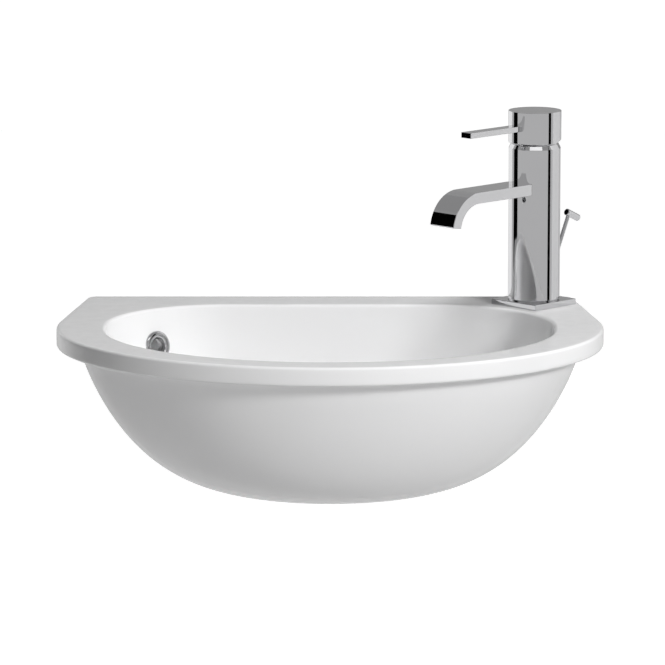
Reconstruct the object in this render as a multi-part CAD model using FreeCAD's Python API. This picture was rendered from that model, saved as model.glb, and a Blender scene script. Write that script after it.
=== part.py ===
import FreeCAD, Part
import math
import os
from collections import namedtuple

# Semi-recessed basin with a single-lever mixer tap and a pop-up waste.
# Millimetres and degrees. Origin: middle of the wall edge, on the rim's underside.
# +X to the user's right, +Y to the wall, +Z up.

Vec = FreeCAD.Vector
UP = Vec(0, 0, 1)
TILT_AXIS = Vec(0, 1, 0)

# Fits shared by all pieces
FIT = 0.05                  # gap of pieces that are assembled once
RUNNING = 0.06              # radial gap of a shaft or ball that turns in its seat
FREE = 0.4                  # gap of pieces that pass each other
OVERCUT = 1.0               # how far a cut runs past the face it opens
SAME = 1e-4                 # lengths closer than this are equal

# Rim of the basin
RIM_WIDTH = 500.0
RIM_DEPTH = 373.5
RIM_THICK = 17.0
RIM_FRONT_CENTRE = 160.0    # wall edge to the centre of the front ellipse
RIM_SIDE_TAPER = 8.53
RIM_CORNER_R = 10.0
RIM_EDGE_R = 2.5
OPENING_EDGE_R = 3.0

# Inside of the bowl
OPENING_BACK = 48.0         # wall edge to the back of the opening
FRONT_LAND = 29.5           # front of the rim to the opening
SIDE_LAND = 45.0            # side of the rim to the opening
OPENING_CORNER_R = 108.0
OPENING_STRAIGHT = 14.0     # straight stretch of each side
OPENING_CENTRE = 170.0
FLOOR_ABOVE_BOTTOM = 50.5   # outside of the bottom to the floor at the waste
INSIDE_WALL_POWER = 8.0
INSIDE_FLOOR_POWER = 1.3
FLOOR_FALL = 4.0            # fall of the floor towards the waste

# Outside of the bowl
BOWL_BACK = 36.0
FRONT_OVERHANG = 16.5       # rim past the bowl at the front
SIDE_OVERHANG = 22.0        # rim past the bowl at each side
BOWL_CORNER_R = 131.0
BOWL_STRAIGHT = 4.0
BOWL_CENTRE = 165.0
BOWL_DEPTH = 136.5          # rim underside to the bottom
BOWL_WALL_POWER = 3.62
BOWL_FLOOR_POWER = 1.21
SECTION_COUNT = 9
SMALLEST_SECTION = 0.22

# Waste hole and the recess under it
WASTE_FROM_WALL = 140.0
WASTE_HOLE_R = 23.0
WASTE_BOSS = 25.0           # ceramic left under the floor at the waste
RECESS_R = 60.0
CHANNEL_WIDTH = 40.0

# Overflow
OVERFLOW_BEARING = 49.6     # place round the back left corner, from the left side
OVERFLOW_DEPTH = 34.5       # rim top to the ring's centre
OVERFLOW_TILT = 8.0
OVERFLOW_RING_R = 14.25
OVERFLOW_RING_BORE = 7.9
OVERFLOW_RING_HEIGHT = 3.2
OVERFLOW_RING_LIP_R = 1.5
OVERFLOW_SLEEVE = 8.0
OVERFLOW_SLEEVE_WALL = 1.4
OVERFLOW_SEAT_DEPTH = 0.8
DUCT_WIDTH = 26.0
DUCT_HEIGHT = 11.0
DUCT_OUT = 12.0             # duct outside the bowl's wall
DUCT_ROOF = 7.0             # ceramic between the floor and the duct
RIB_WALL = 8.0

# Tap: heights are above the deck, which is the rim's top
TAP_FROM_SIDE = 59.4
TAP_FROM_WALL = 45.5
SPOUT_BEARING = 225.0
TAP_HOLE_R = 17.5
TAP_SEAT_R = 30.0
TAP_SEAT_DEPTH = 3.0
PLATE_SIDE = 56.0
PLATE_THICK = 5.5
PLATE_EDGE_R = 0.8
BODY_R = 24.2
BODY_TOP = 152.5
BODY_NECK_R = 22.2
BODY_CHAMFER = 4.1
SHADOW_GAP = 1.2
BASE_SEAL_R = 20.0
BASE_SEAL_WIDTH = 4.0
BASE_SEAL_THICK = 1.5

# Shank and inlets
SHANK_R = 14.0
SHANK_BORE = 12.5
SHANK_THREAD = 10.5         # length screwed into the body
SHANK_BELOW = 15.0          # length below the rim
INLET_R = 4.0
INLET_LENGTH = 12.0
INLET_SPREAD = 7.0
WATERWAY_R = 3.2
WASHER_R = 21.0
RUBBER_WASHER = 2.5
STEEL_WASHER = 2.0
SHANK_NUT_R = 21.5
SHANK_NUT_THICK = 6.0

# Spout
SPOUT_WIDTH = 30.0
SPOUT_THICK = 10.4
SPOUT_DROP = 5.2            # cartridge to the spout's top
SPOUT_STRAIGHT = 90.5       # tap axis to the start of the bend
SPOUT_BEND_R = 34.6
SPOUT_SWEEP = 82.0
SPOUT_WALL = 2.0
SPOUT_EDGE_R = 0.5
TENON_WIDTH = 20.0
TENON_HEIGHT = 7.0
TENON_DEPTH = 9.0
TENON_WALL = 1.3
SPOUT_SEAL_THICK = 1.0
OUTLET_R = 3.2
OUTLET_FORWARD = 9.5
STRAIGHTENER_ANGLE = 14.0
STRAIGHTENER_SET_BACK = 1.0 # degrees inside the mouth
STRAIGHTENER_SLOT = 2.6
STRAIGHTENER_SLOTS = 6
SCREW_BEARING = 19.5        # spout plane to the spout's grub screw
SCREW_DROP = 14.8           # spout's top to its grub screw
SCREW_RISE = 35.0
SCREW_R = 1.8
SCREW_LENGTH = 6.0
SCREW_RECESS = 2.0
SCREW_SOCKET_R = 1.0
SCREW_TAP = 6.0             # drilled length past the screw's end

# Cartridge
CARTRIDGE_DEPTH = 30.5      # body's top to the cartridge's floor
CARTRIDGE_R = 17.4
HOUSING_WALL = 2.0
HOUSING_BASE = 3.5
DISC_THICK = 3.0
MOVING_DISC_R = 11.0
MIXING_HOLLOW = 1.0
MIXING_WALL = 2.0
ROTOR_DROP = 3.5            # body's top to the rotor's
ROTOR_NECK_R = 11.5
HOUSING_DROP = 9.5          # body's top to the housing's
NUT_DROP = 2.9              # body's top to the nut's
PORT_R = 2.9
PORT_SEAL_WIDTH = 1.2
PORT_SEAL_THICK = 1.2
SPINDLE_SIDE = 7.0
SPINDLE_DROP = 7.3          # lever head's top to the spindle's
FOOT_SIDE = 5.0
FOOT_DROP = 9.0             # pivot to the foot's end
FOOT_POCKET = 1.6
FOOT_NECK = 1.6             # moving disc to the spindle's shoulder
FOOT_PLAY = 0.7             # play of the foot in its pocket
ROTOR_SLOT = 16.0
PIN_R = 1.5
PIN_LENGTH = 26.0
DOME_WALL = 1.6
DOME_MOUTH_R = 14.5

# Lever
HEAD_R = 24.7
HEAD_LIP_R = 22.2           # inside of the lip
HEAD_GAP = 1.1              # body's top to the head's lip
HEAD_HEIGHT = 29.7
HEAD_EDGE_R = 0.8
PIVOT_DROP = 14.0           # lip to the tilt pivot
HEAD_RELIEF = 11.3          # degrees by which the lip rises behind the tilt axis
LEVER_REACH = 93.0
LEVER_WIDTH = 12.4
LEVER_THICK = 5.2
LEVER_DROP = 14.9           # head's top to the middle of the bar
LEVER_ROOT = 12.0
LEVER_EDGE_R = 0.5
HEAD_SCREW_R = 2.5
HEAD_SCREW_LENGTH = 9.0
HEAD_SOCKET_R = 1.5
HEAD_SCREW_DROP = 12.3      # head's top to its grub screw

# Lift rod behind the tap
ROD_R = 2.0
ROD_TILT = 25.1
ROD_EXIT = 30.1
LINK_RISE = 24.6            # ball to the linkage at the rod's foot
KNOB_REACH = 56.3           # rod's exit to the knob, along the rod
KNOB_R = 3.3
KNOB_FRONT = 3.9
KNOB_BACK = 14.0
KNOB_EDGE_R = 0.6
BUSH_R = 3.5
BUSH_LENGTH = 6.0
BUSH_SET_IN = 9.0
ROD_TRAVEL = 30.0
CLAMP_WALL = 2.6
CLAMP_GRIP = 14.0           # length of rod held in the clamp
CLAMP_DEPTH = 9.0
CLAMP_PLAY = 1.3            # slot's play above and below the lever
CLAMP_SCREW_R = 1.5
CLAMP_SCREW_HEAD_R = 3.0
CLAMP_SCREW_HEAD = 2.0

# Pop-up waste
FLANGE_R = 32.0
FLANGE_THICK = 2.5
FLANGE_SEAL = 1.5
FLANGE_PROUD = 1.0
FLANGE_EDGE_R = 0.8
THREAD_R = 20.95
PLUG_MOUTH_R = 19.0
FLANGE_BORE = 15.5
PLUG_SEAT_DROP = 6.5
OVERFLOW_SLOT_WIDTH = 10.0
OVERFLOW_SLOT_COUNT = 4
BACK_WASHER_R = 30.0
BACK_WASHER = 3.0
BACK_NUT_R = 29.0
BACK_NUT = 8.0
TAIL_BORE = 13.0
TAIL_R = 20.4
TAIL_LENGTH = 25.0
TAIL_THREAD = 5.0           # thread for the trap at the tail's end
TAIL_SPIGOT = 8.0
BALL_R = 6.0
BALL_OUT = 24.0             # waste axis to the ball
BALL_CHAMBER = 1.0          # ball to the inner end of its chamber
TAIL_BELOW_NUT = 2.0        # back nut to the tail's shoulder
PORT_BELOW_TOP = 0.6        # tail's shoulder to the ball port
PORT_WALL = 2.6
PORT_LENGTH = 31.0          # waste axis to the port's mouth
PORT_THROAT = 4.4
SEAT_RING = 3.5
GLAND_WALL = 1.2
GLAND_END = 4.0
GLAND_GRIP = 5.0
GLAND_MOUTH = 4.7
LEVER_ROD_R = 2.0
LEVER_PAST_AXIS = 5.0
LEVER_PAST_CLAMP = 8.0
PLUG_R = 18.4
PLUG_CAP = 4.5
PLUG_CROWN = 1.0
PLUG_SEAL_R = 17.8
PLUG_SEAL = 2.0
STEM_R = 3.0
EYE_WIDTH = 9.0
EYE_THICK = 3.0
EYE_HEIGHT = 13.0
EYE_PLAY = 0.8
WING_THICK = 2.0
WING_HEIGHT = 15.0
WING_COUNT = 3

# Sizes of the bowl and place of the tap that follow from the rim and the outside
OPENING_FRONT = RIM_DEPTH - FRONT_LAND
OPENING_WIDTH = RIM_WIDTH - 2 * SIDE_LAND
BOWL_FRONT = RIM_DEPTH - FRONT_OVERHANG
BOWL_WIDTH = RIM_WIDTH - 2 * SIDE_OVERHANG
INSIDE_DEPTH = RIM_THICK + BOWL_DEPTH - FLOOR_ABOVE_BOTTOM
TAP_X = RIM_WIDTH / 2 - TAP_FROM_SIDE

Form = namedtuple("Form", "back half corner straight front centre target depth wall floor fall")
INSIDE = Form(-OPENING_BACK, OPENING_WIDTH / 2, OPENING_CORNER_R, OPENING_STRAIGHT, -OPENING_FRONT,
              -OPENING_CENTRE, -WASTE_FROM_WALL, INSIDE_DEPTH, INSIDE_WALL_POWER, INSIDE_FLOOR_POWER,
              FLOOR_FALL)
OUTSIDE = Form(-BOWL_BACK, BOWL_WIDTH / 2, BOWL_CORNER_R, BOWL_STRAIGHT, -BOWL_FRONT,
               -BOWL_CENTRE, -BOWL_CENTRE, BOWL_DEPTH, BOWL_WALL_POWER, BOWL_FLOOR_POWER, 0.0)

# Levels that follow from the sizes above
FLOOR_Z = RIM_THICK - INSIDE_DEPTH
FLANGE_SEAT_Z = FLOOR_Z + FLANGE_PROUD - FLANGE_THICK - FLANGE_SEAL
ROOF_Z = FLOOR_Z - WASTE_BOSS
DUCT_TOP_Z = FLOOR_Z - DUCT_ROOF
DUCT_LOW_Z = DUCT_TOP_Z - DUCT_HEIGHT
BACK_NUT_Z = ROOF_Z - BACK_WASHER
TAIL_TOP_Z = BACK_NUT_Z - BACK_NUT - TAIL_BELOW_NUT
PORT_BORE = BALL_R + FREE
PORT_R_OUT = PORT_BORE + PORT_WALL
BALL_Z = TAIL_TOP_Z - PORT_BELOW_TOP - PORT_R_OUT
TAIL_END_Z = TAIL_TOP_Z - TAIL_LENGTH
CHAMBER_END = BALL_OUT - BALL_R - BALL_CHAMBER
FLANGE_TOP_Z = FLOOR_Z + FLANGE_PROUD
PLUG_SEAT_Z = FLANGE_TOP_Z - PLUG_SEAT_DROP
CARTRIDGE_FLOOR = BODY_TOP - CARTRIDGE_DEPTH
HOUSING_TOP = BODY_TOP - HOUSING_DROP
ROTOR_TOP = BODY_TOP - ROTOR_DROP
NUT_TOP = BODY_TOP - NUT_DROP
SPOUT_TOP = CARTRIDGE_FLOOR - SPOUT_DROP
SCREW_HEIGHT = SPOUT_TOP - SCREW_DROP
HEAD_LIP = BODY_TOP + HEAD_GAP
HEAD_TOP = HEAD_LIP + HEAD_HEIGHT
SPINDLE_TOP = HEAD_TOP - SPINDLE_DROP
LEVER_HEIGHT = HEAD_TOP - LEVER_DROP
HEAD_SCREW_HEIGHT = HEAD_TOP - HEAD_SCREW_DROP
PIVOT = HEAD_LIP - PIVOT_DROP
BORE_R = CARTRIDGE_R + FIT
DISC_TOP = CARTRIDGE_FLOOR + HOUSING_BASE + DISC_THICK
MOVING_TOP = DISC_TOP + FIT + DISC_THICK
SPOUT_MIDDLE = SPOUT_TOP - SPOUT_THICK / 2
SHANK_TOP = PLATE_THICK + SHANK_THREAD
TENON_END = BODY_R - TENON_DEPTH
WASTE_AT = Vec(0, -WASTE_FROM_WALL, 0)

# Frames of the tap and of its lift rod
TAP = FreeCAD.Placement(Vec(TAP_X, -TAP_FROM_WALL, RIM_THICK), FreeCAD.Rotation(UP, SPOUT_BEARING))
ROD_DROP = (RIM_THICK + ROD_EXIT - BALL_Z - LINK_RISE) / math.cos(math.radians(ROD_TILT))
ROD = TAP.multiply(FreeCAD.Placement(Vec(-BODY_R, 0, ROD_EXIT), FreeCAD.Rotation(TILT_AXIS, -ROD_TILT)))
LINK = ROD.multVec(Vec(0, 0, -ROD_DROP))

# Frame of the waste: its X axis points along the pop-up lever
LINK_BEARING = math.degrees(math.atan2(LINK.y - WASTE_AT.y, LINK.x - WASTE_AT.x))
LINK_REACH = math.hypot(LINK.x - WASTE_AT.x, LINK.y - WASTE_AT.y)
WASTE = FreeCAD.Placement(WASTE_AT, FreeCAD.Rotation(UP, LINK_BEARING))
LEVER_RISE = math.degrees(math.atan2(LINK.z - BALL_Z, LINK_REACH - BALL_OUT))
EYE_Z = BALL_Z - BALL_OUT * math.tan(math.radians(LEVER_RISE))


# Small shape helpers

def moved(shape, placement):
    """Copy of a shape, carried from a local frame into the basin's frame."""
    return shape.transformed(placement.toMatrix(), True)


def rod_between(radius, z0, z1, x=0.0, y=0.0):
    """Upright cylinder from one height to another."""
    return Part.makeCylinder(radius, z1 - z0, Vec(x, y, z0))


def tube(outer, inner, z0, z1):
    """Upright tube round the Z axis."""
    return rod_between(outer, z0, z1).cut(rod_between(inner, z0, z1))


def block(x0, x1, width, z0, z1):
    """Box centred on Y."""
    return Part.makeBox(x1 - x0, width, z1 - z0, Vec(x0, -width / 2, z0))


def hexagon(corner_r, z0, z1):
    """Upright hexagonal prism round the Z axis."""
    corners = [Vec(corner_r * math.cos(k * math.pi / 3), corner_r * math.sin(k * math.pi / 3), z0)
               for k in range(7)]
    return Part.Face(Part.makePolygon(corners)).extrude(Vec(0, 0, z1 - z0))


def turned(points):
    """Solid of revolution round Z of a closed profile of (radius, height) points."""
    corners = [Vec(r, 0, z) for r, z in points]
    return Part.Face(Part.makePolygon(corners + corners[:1])).revolve(Vec(), UP, 360)


def along_x(shape):
    """Turn an upright shape so that its axis points along +X."""
    return moved(shape, FreeCAD.Placement(Vec(), FreeCAD.Rotation(TILT_AXIS, 90)))


def level_edges(shape, z):
    """Edges of a shape that lie in one horizontal plane."""
    return [e for e in shape.Edges if abs(e.BoundBox.ZMin - z) < SAME and abs(e.BoundBox.ZMax - z) < SAME]


def ellipse_arc(cx, cy, z, ax, ay, start, end):
    """Arc of an ellipse with upright axes, between two angles from +X."""
    centre = Vec(cx, cy, z)
    if ax >= ay:
        curve = Part.Ellipse(centre + Vec(ax, 0, 0), centre + Vec(0, ay, 0), centre)
        lead = 0.0
    else:
        curve = Part.Ellipse(centre + Vec(0, ay, 0), centre - Vec(ax, 0, 0), centre)
        lead = 90.0
    return Part.ArcOfEllipse(curve, math.radians(start - lead), math.radians(end - lead)).toShape()


def circle_arc(cx, cy, z, radius, start, end):
    """Level arc of a circle between two angles from +X."""
    circle = Part.Circle(Vec(cx, cy, z), UP, radius)
    return Part.ArcOfCircle(circle, math.radians(start), math.radians(end)).toShape()


# The ceramic

def depth_at(form, scale):
    """Depth of a bowl's section: steep walls that round into a nearly level floor."""
    curve = (1.0 - scale ** form.wall) ** (1.0 / form.floor)
    return (form.depth - form.fall) * curve + form.fall * (1.0 - scale)


def scale_at(form, depth):
    """Scale of the section at a depth, by halving."""
    low, high = 0.0, 1.0
    for _ in range(50):
        middle = (low + high) / 2
        if depth_at(form, middle) > depth:
            low = middle
        else:
            high = middle
    return low


def scaled(form, scale):
    """Outline of a section: the top outline, drawn in towards the deepest point."""
    centre = form.target + (form.centre - form.target) * scale
    return form._replace(back=centre + (form.back - form.centre) * scale, half=form.half * scale,
                         corner=form.corner * scale, straight=form.straight * scale,
                         front=centre + (form.front - form.centre) * scale)


def grown(form, extra):
    """The same bowl with its surface moved outwards."""
    return form._replace(back=form.back + extra, half=form.half + extra, corner=form.corner + extra,
                         front=form.front - extra, depth=form.depth + extra)


def bowl_wire(form, z):
    """Bowl outline: straight back, round corners, short straight sides, half an ellipse in front."""
    flat = form.half - form.corner
    shoulder = form.back - form.corner
    middle = shoulder - form.straight
    reach = middle - form.front
    edges = [
        Part.makeLine(Vec(flat, form.back, z), Vec(-flat, form.back, z)),
        circle_arc(-flat, shoulder, z, form.corner, 90, 180),
        Part.makeLine(Vec(-form.half, shoulder, z), Vec(-form.half, middle, z)),
        ellipse_arc(0, middle, z, form.half, reach, 180, 270),
        ellipse_arc(0, middle, z, form.half, reach, 270, 360),
        Part.makeLine(Vec(form.half, middle, z), Vec(form.half, shoulder, z)),
        circle_arc(flat, shoulder, z, form.corner, 0, 90),
    ]
    return Part.Wire(edges)


def bowl_solid(form, top):
    """Loft through sections that lie closer together near the top, where the wall is steep."""
    wires = []
    for k in range(SECTION_COUNT):
        step = k / (SECTION_COUNT - 1)
        scale = 1.0 - (1.0 - SMALLEST_SECTION) * step ** 2
        wires.append(bowl_wire(scaled(form, scale), top - depth_at(form, scale)))
    return Part.makeLoft(wires, True)


def rim_wire():
    """Rim outline: straight wall edge with round corners, tapering sides, half an ellipse in front."""
    ax = RIM_WIDTH / 2
    ay = RIM_DEPTH - RIM_FRONT_CENTRE
    taper = math.tan(math.radians(RIM_SIDE_TAPER))
    lean = math.atan(taper * ay / ax)
    side = Vec(ax * math.cos(lean), ay * math.sin(lean) - RIM_FRONT_CENTRE, 0)
    corner = Vec(side.x + taper * side.y, 0, 0)
    inward = Vec(-1, 0, 0)
    down = (side - corner).normalize()
    half_angle = inward.getAngle(down) / 2
    bisector = (inward + down).normalize()
    run = RIM_CORNER_R / math.tan(half_angle)
    start = corner + inward * run
    end = corner + down * run
    middle = corner + bisector * (RIM_CORNER_R / math.sin(half_angle) - RIM_CORNER_R)

    def left(p):
        return Vec(-p.x, p.y, p.z)

    lean_deg = math.degrees(lean)
    edges = [
        Part.makeLine(start, left(start)),
        Part.Arc(left(start), left(middle), left(end)).toShape(),
        Part.makeLine(left(end), left(side)),
        ellipse_arc(0, -RIM_FRONT_CENTRE, 0, ax, ay, 180 - lean_deg, 270),
        ellipse_arc(0, -RIM_FRONT_CENTRE, 0, ax, ay, 270, 360 + lean_deg),
        Part.makeLine(side, end),
        Part.Arc(end, middle, start).toShape(),
    ]
    return Part.Wire(edges)


def overflow_frame():
    """Frame of the overflow ring: on the inside wall, its Z axis pointing into the bowl."""
    form = scaled(INSIDE, scale_at(INSIDE, OVERFLOW_DEPTH))
    bearing = math.radians(OVERFLOW_BEARING)
    tilt = math.radians(OVERFLOW_TILT)
    x = form.corner - form.half - form.corner * math.cos(bearing)
    y = form.back - form.corner + form.corner * math.sin(bearing)
    axis = Vec(math.cos(bearing) * math.cos(tilt), -math.sin(bearing) * math.cos(tilt), math.sin(tilt))
    return FreeCAD.Placement(Vec(x, y, RIM_THICK - OVERFLOW_DEPTH), FreeCAD.Rotation(UP, axis))


OVERFLOW = overflow_frame()
SLEEVE_R = OVERFLOW_RING_BORE + OVERFLOW_SLEEVE_WALL


def towards_overflow(width, near, z0, z1):
    """Upright slab of space from the waste axis out past the overflow."""
    place = OVERFLOW.Base - WASTE_AT
    bearing = math.degrees(math.atan2(place.y, place.x))
    slab = block(near, RIM_WIDTH / 2, width, z0, z1)
    return moved(slab, FreeCAD.Placement(WASTE_AT, FreeCAD.Rotation(UP, bearing)))


def overflow_duct():
    """Passage from the overflow ring down the outside of the bowl and in to the waste hole."""
    outer = bowl_solid(grown(OUTSIDE, DUCT_OUT), 0)
    shaft_top = OVERFLOW.Base.z + SLEEVE_R
    shaft = towards_overflow(DUCT_WIDTH, 0, DUCT_LOW_Z, shaft_top)
    shaft = shaft.common(outer).cut(bowl_solid(OUTSIDE, 0))
    run = towards_overflow(DUCT_WIDTH, 0, DUCT_LOW_Z, DUCT_TOP_Z).common(outer)
    bore_length = BOWL_WIDTH / 2 - OPENING_WIDTH / 2 + DUCT_OUT / 2
    bore = moved(rod_between(SLEEVE_R + FIT, -bore_length, 0), OVERFLOW)
    spot_face = moved(rod_between(OVERFLOW_RING_R + FREE, -OVERFLOW_SEAT_DEPTH, OVERFLOW_RING_R), OVERFLOW)
    return [shaft, run, bore, spot_face]


def basin_body():
    """Rim slab and bowl in one casting, with the overflow rib behind and the waste recess below."""
    slab = Part.Face(rim_wire()).extrude(Vec(0, 0, RIM_THICK))
    slab = slab.makeFillet(RIM_EDGE_R, level_edges(slab, 0) + level_edges(slab, RIM_THICK))
    slab = slab.cut(rod_between(TAP_SEAT_R, 0, TAP_SEAT_DEPTH, TAP_X, -TAP_FROM_WALL))
    collar = Part.Face(bowl_wire(OUTSIDE, 0)).extrude(Vec(0, 0, RIM_THICK / 2))
    rib = bowl_solid(grown(OUTSIDE, DUCT_OUT + RIB_WALL), 0)
    rib = rib.common(towards_overflow(DUCT_WIDTH + 2 * RIB_WALL, 0, ROOF_Z, 0))
    casting = slab.fuse([collar, bowl_solid(OUTSIDE, 0), rib])
    casting = casting.cut(bowl_solid(INSIDE, RIM_THICK))
    opening = bowl_wire(INSIDE, RIM_THICK).BoundBox
    opening.enlarge(FREE)
    opening_edges = [e for e in level_edges(casting, RIM_THICK) if opening.isInside(e.BoundBox)]
    casting = casting.makeFillet(OPENING_EDGE_R, opening_edges)
    far_below = ROOF_Z - BOWL_DEPTH
    recess = rod_between(RECESS_R, far_below, ROOF_Z)
    channel = block(0, BOWL_WIDTH / 2, CHANNEL_WIDTH, far_below, ROOF_Z)
    hole = rod_between(WASTE_HOLE_R, ROOF_Z - OVERCUT, FLOOR_Z + OVERCUT)
    seat = rod_between(FLANGE_R + FREE, FLANGE_SEAT_Z, FLOOR_Z + FLOOR_FALL)
    tap_hole = rod_between(TAP_HOLE_R, -OVERCUT, RIM_THICK + OVERCUT, TAP_X, -TAP_FROM_WALL)
    tools = [moved(s, WASTE) for s in (recess, channel, hole, seat)] + [tap_hole] + overflow_duct()
    return casting.cut(tools)


def overflow_ring():
    """Chrome ring with a rolled lip, on a sleeve that lines the overflow hole."""
    base = -OVERFLOW_SEAT_DEPTH
    top = base + OVERFLOW_RING_HEIGHT
    ring = tube(OVERFLOW_RING_R, OVERFLOW_RING_BORE, base, top)
    ring = ring.makeFillet(OVERFLOW_RING_LIP_R, level_edges(ring, top))
    return moved(ring.fuse(tube(SLEEVE_R, OVERFLOW_RING_BORE, base - OVERFLOW_SLEEVE, base)), OVERFLOW)


# The tap, in its own frame: X along the spout, Z up from the deck

def rod_hole():
    """Free passage of the lift rod, in the tap's frame."""
    hole = rod_between(ROD_R + FREE, -ROD_DROP / 2, BODY_R)
    place = TAP.inverse().multiply(ROD)
    return moved(hole, place)


def bush_seat():
    """Bore of the rod's guide bush, in the tap's frame, open to the body's back."""
    bore = rod_between(BUSH_R + FIT, -BUSH_SET_IN - BUSH_LENGTH, BODY_R)
    return moved(bore, TAP.inverse().multiply(ROD))


def screw_frame():
    """Frame of the spout's grub screw, its Z axis pointing out of the body."""
    bearing = math.radians(SCREW_BEARING)
    rise = math.radians(SCREW_RISE)
    out = Vec(math.cos(bearing) * math.cos(rise), math.sin(bearing) * math.cos(rise), -math.sin(rise))
    mouth = Vec(BODY_R * math.cos(bearing), BODY_R * math.sin(bearing), SCREW_HEIGHT)
    return FreeCAD.Placement(mouth, FreeCAD.Rotation(UP, out))


SCREW = screw_frame()


def port_centres():
    """Hot inlet, cold inlet and outlet under the cartridge."""
    return [(0.0, -INLET_SPREAD), (0.0, INLET_SPREAD), (OUTLET_FORWARD, 0.0)]


def tap_body():
    """Turned brass body with the cartridge bore, waterways, spout pocket and rod passage."""
    foot_r = BODY_R - SHADOW_GAP
    foot_top = PLATE_THICK + SHADOW_GAP
    body = turned([(0, PLATE_THICK), (foot_r, PLATE_THICK), (foot_r, foot_top), (BODY_R, foot_top),
                   (BODY_R, BODY_TOP - BODY_CHAMFER), (BODY_NECK_R, BODY_TOP), (0, BODY_TOP)])
    tools = [rod_between(BORE_R, CARTRIDGE_FLOOR, BODY_TOP),
             rod_between(SHANK_R + FIT, PLATE_THICK, SHANK_TOP), rod_hole(), bush_seat()]
    for x, y in port_centres()[:2]:
        tools.append(rod_between(INLET_R, SHANK_TOP, SHANK_TOP + INLET_LENGTH, x, y))
        tools.append(rod_between(WATERWAY_R, SHANK_TOP, CARTRIDGE_FLOOR, x, y))
    outlet_x, outlet_y = port_centres()[2]
    tools.append(rod_between(OUTLET_R, SPOUT_MIDDLE, CARTRIDGE_FLOOR, outlet_x, outlet_y))
    tools.append(along_x(rod_between(OUTLET_R, outlet_x, BODY_R, -SPOUT_MIDDLE)))
    tools.append(block(TENON_END - SPOUT_SEAL_THICK - FIT, BODY_R, TENON_WIDTH + 2 * FIT,
                       SPOUT_MIDDLE - TENON_HEIGHT / 2 - FIT, SPOUT_MIDDLE + TENON_HEIGHT / 2 + FIT))
    drill_end = -SCREW_RECESS - SCREW_LENGTH - SCREW_TAP
    tools.append(moved(rod_between(SCREW_R + FIT, drill_end, SCREW_LENGTH), SCREW))
    return body.cut(tools)


def base_seal():
    """Flat rubber ring let into the underside of the base plate."""
    return tube(BASE_SEAL_R + BASE_SEAL_WIDTH, BASE_SEAL_R, 0, BASE_SEAL_THICK)


def tap_base_plate():
    """Square plate under the body."""
    plate = block(-PLATE_SIDE / 2, PLATE_SIDE / 2, PLATE_SIDE, 0, PLATE_THICK)
    upright = [e for e in plate.Edges if e.BoundBox.ZLength > PLATE_THICK / 2]
    plate = plate.makeFillet(PLATE_EDGE_R, upright + level_edges(plate, PLATE_THICK))
    return plate.cut([rod_between(SHANK_R + FIT, 0, PLATE_THICK), base_seal(), rod_hole()])


def tap_shank():
    """Threaded hollow shank, with a window where the lift rod crosses its wall."""
    return tube(SHANK_R, SHANK_BORE, -RIM_THICK - SHANK_BELOW, SHANK_TOP).cut(rod_hole())


SEAT_H = TAP_SEAT_DEPTH - RIM_THICK
STEEL_H = SEAT_H - RUBBER_WASHER
SHANK_NUT_H = STEEL_H - STEEL_WASHER


def shank_nut():
    """Slim hexagon nut that clamps the tap to the rim."""
    nut = hexagon(SHANK_NUT_R, SHANK_NUT_H - SHANK_NUT_THICK, SHANK_NUT_H)
    return nut.cut(rod_between(SHANK_R + FIT, SHANK_NUT_H - SHANK_NUT_THICK, SHANK_NUT_H))


def ribbon(inset, start, width, first_angle, last_angle):
    """Flat bar that runs out level from the body and bends down, thinned by an inset all round."""
    outer = SPOUT_BEND_R - inset
    inner = SPOUT_BEND_R - SPOUT_THICK + inset
    centre_z = SPOUT_TOP - SPOUT_BEND_R

    def on_bend(radius, angle):
        a = math.radians(angle)
        return Vec(SPOUT_STRAIGHT + radius * math.cos(a), -width / 2, centre_z + radius * math.sin(a))

    def bend(radius):
        angles = (first_angle, (first_angle + last_angle) / 2, last_angle)
        return Part.Arc(*[on_bend(radius, a) for a in angles]).toShape()

    edges = [bend(outer), Part.makeLine(on_bend(outer, last_angle), on_bend(inner, last_angle)), bend(inner)]
    if start is None:
        edges.append(Part.makeLine(on_bend(inner, first_angle), on_bend(outer, first_angle)))
    else:
        low = Vec(start, -width / 2, centre_z + inner)
        high = Vec(start, -width / 2, centre_z + outer)
        edges.append(Part.makeLine(on_bend(inner, first_angle), low))
        edges.append(Part.makeLine(low, high))
        edges.append(Part.makeLine(high, on_bend(outer, first_angle)))
    outline = Part.Wire(Part.__sortEdges__(edges))
    return Part.Face(outline).extrude(Vec(0, width, 0))


SPOUT_END_ANGLE = 90.0 - SPOUT_SWEEP


def spout():
    """Hollow ribbon spout with a tenon that plugs into the body."""
    bar = ribbon(0, 0, SPOUT_WIDTH, 90, SPOUT_END_ANGLE)
    long_edges = [e for e in bar.Edges
                  if e.BoundBox.YLength < FIT and e.BoundBox.XLength > SPOUT_BEND_R / 2]
    bar = bar.makeFillet(SPOUT_EDGE_R, long_edges)
    bar = bar.cut(rod_between(BODY_R + FIT, 0, BODY_TOP))
    way_width = SPOUT_WIDTH - 2 * SPOUT_WALL
    bar = bar.cut(ribbon(SPOUT_WALL, BODY_R + SPOUT_WALL, way_width, 90, SPOUT_END_ANGLE))
    tenon = block(TENON_END, BODY_R + SPOUT_WALL, TENON_WIDTH,
                  SPOUT_MIDDLE - TENON_HEIGHT / 2, SPOUT_MIDDLE + TENON_HEIGHT / 2)
    way = block(TENON_END, BODY_R + 2 * SPOUT_WALL, TENON_WIDTH - 2 * TENON_WALL,
                SPOUT_MIDDLE - TENON_HEIGHT / 2 + TENON_WALL, SPOUT_MIDDLE + TENON_HEIGHT / 2 - TENON_WALL)
    return bar.fuse(tenon).cut(way).removeSplitter()


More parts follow.
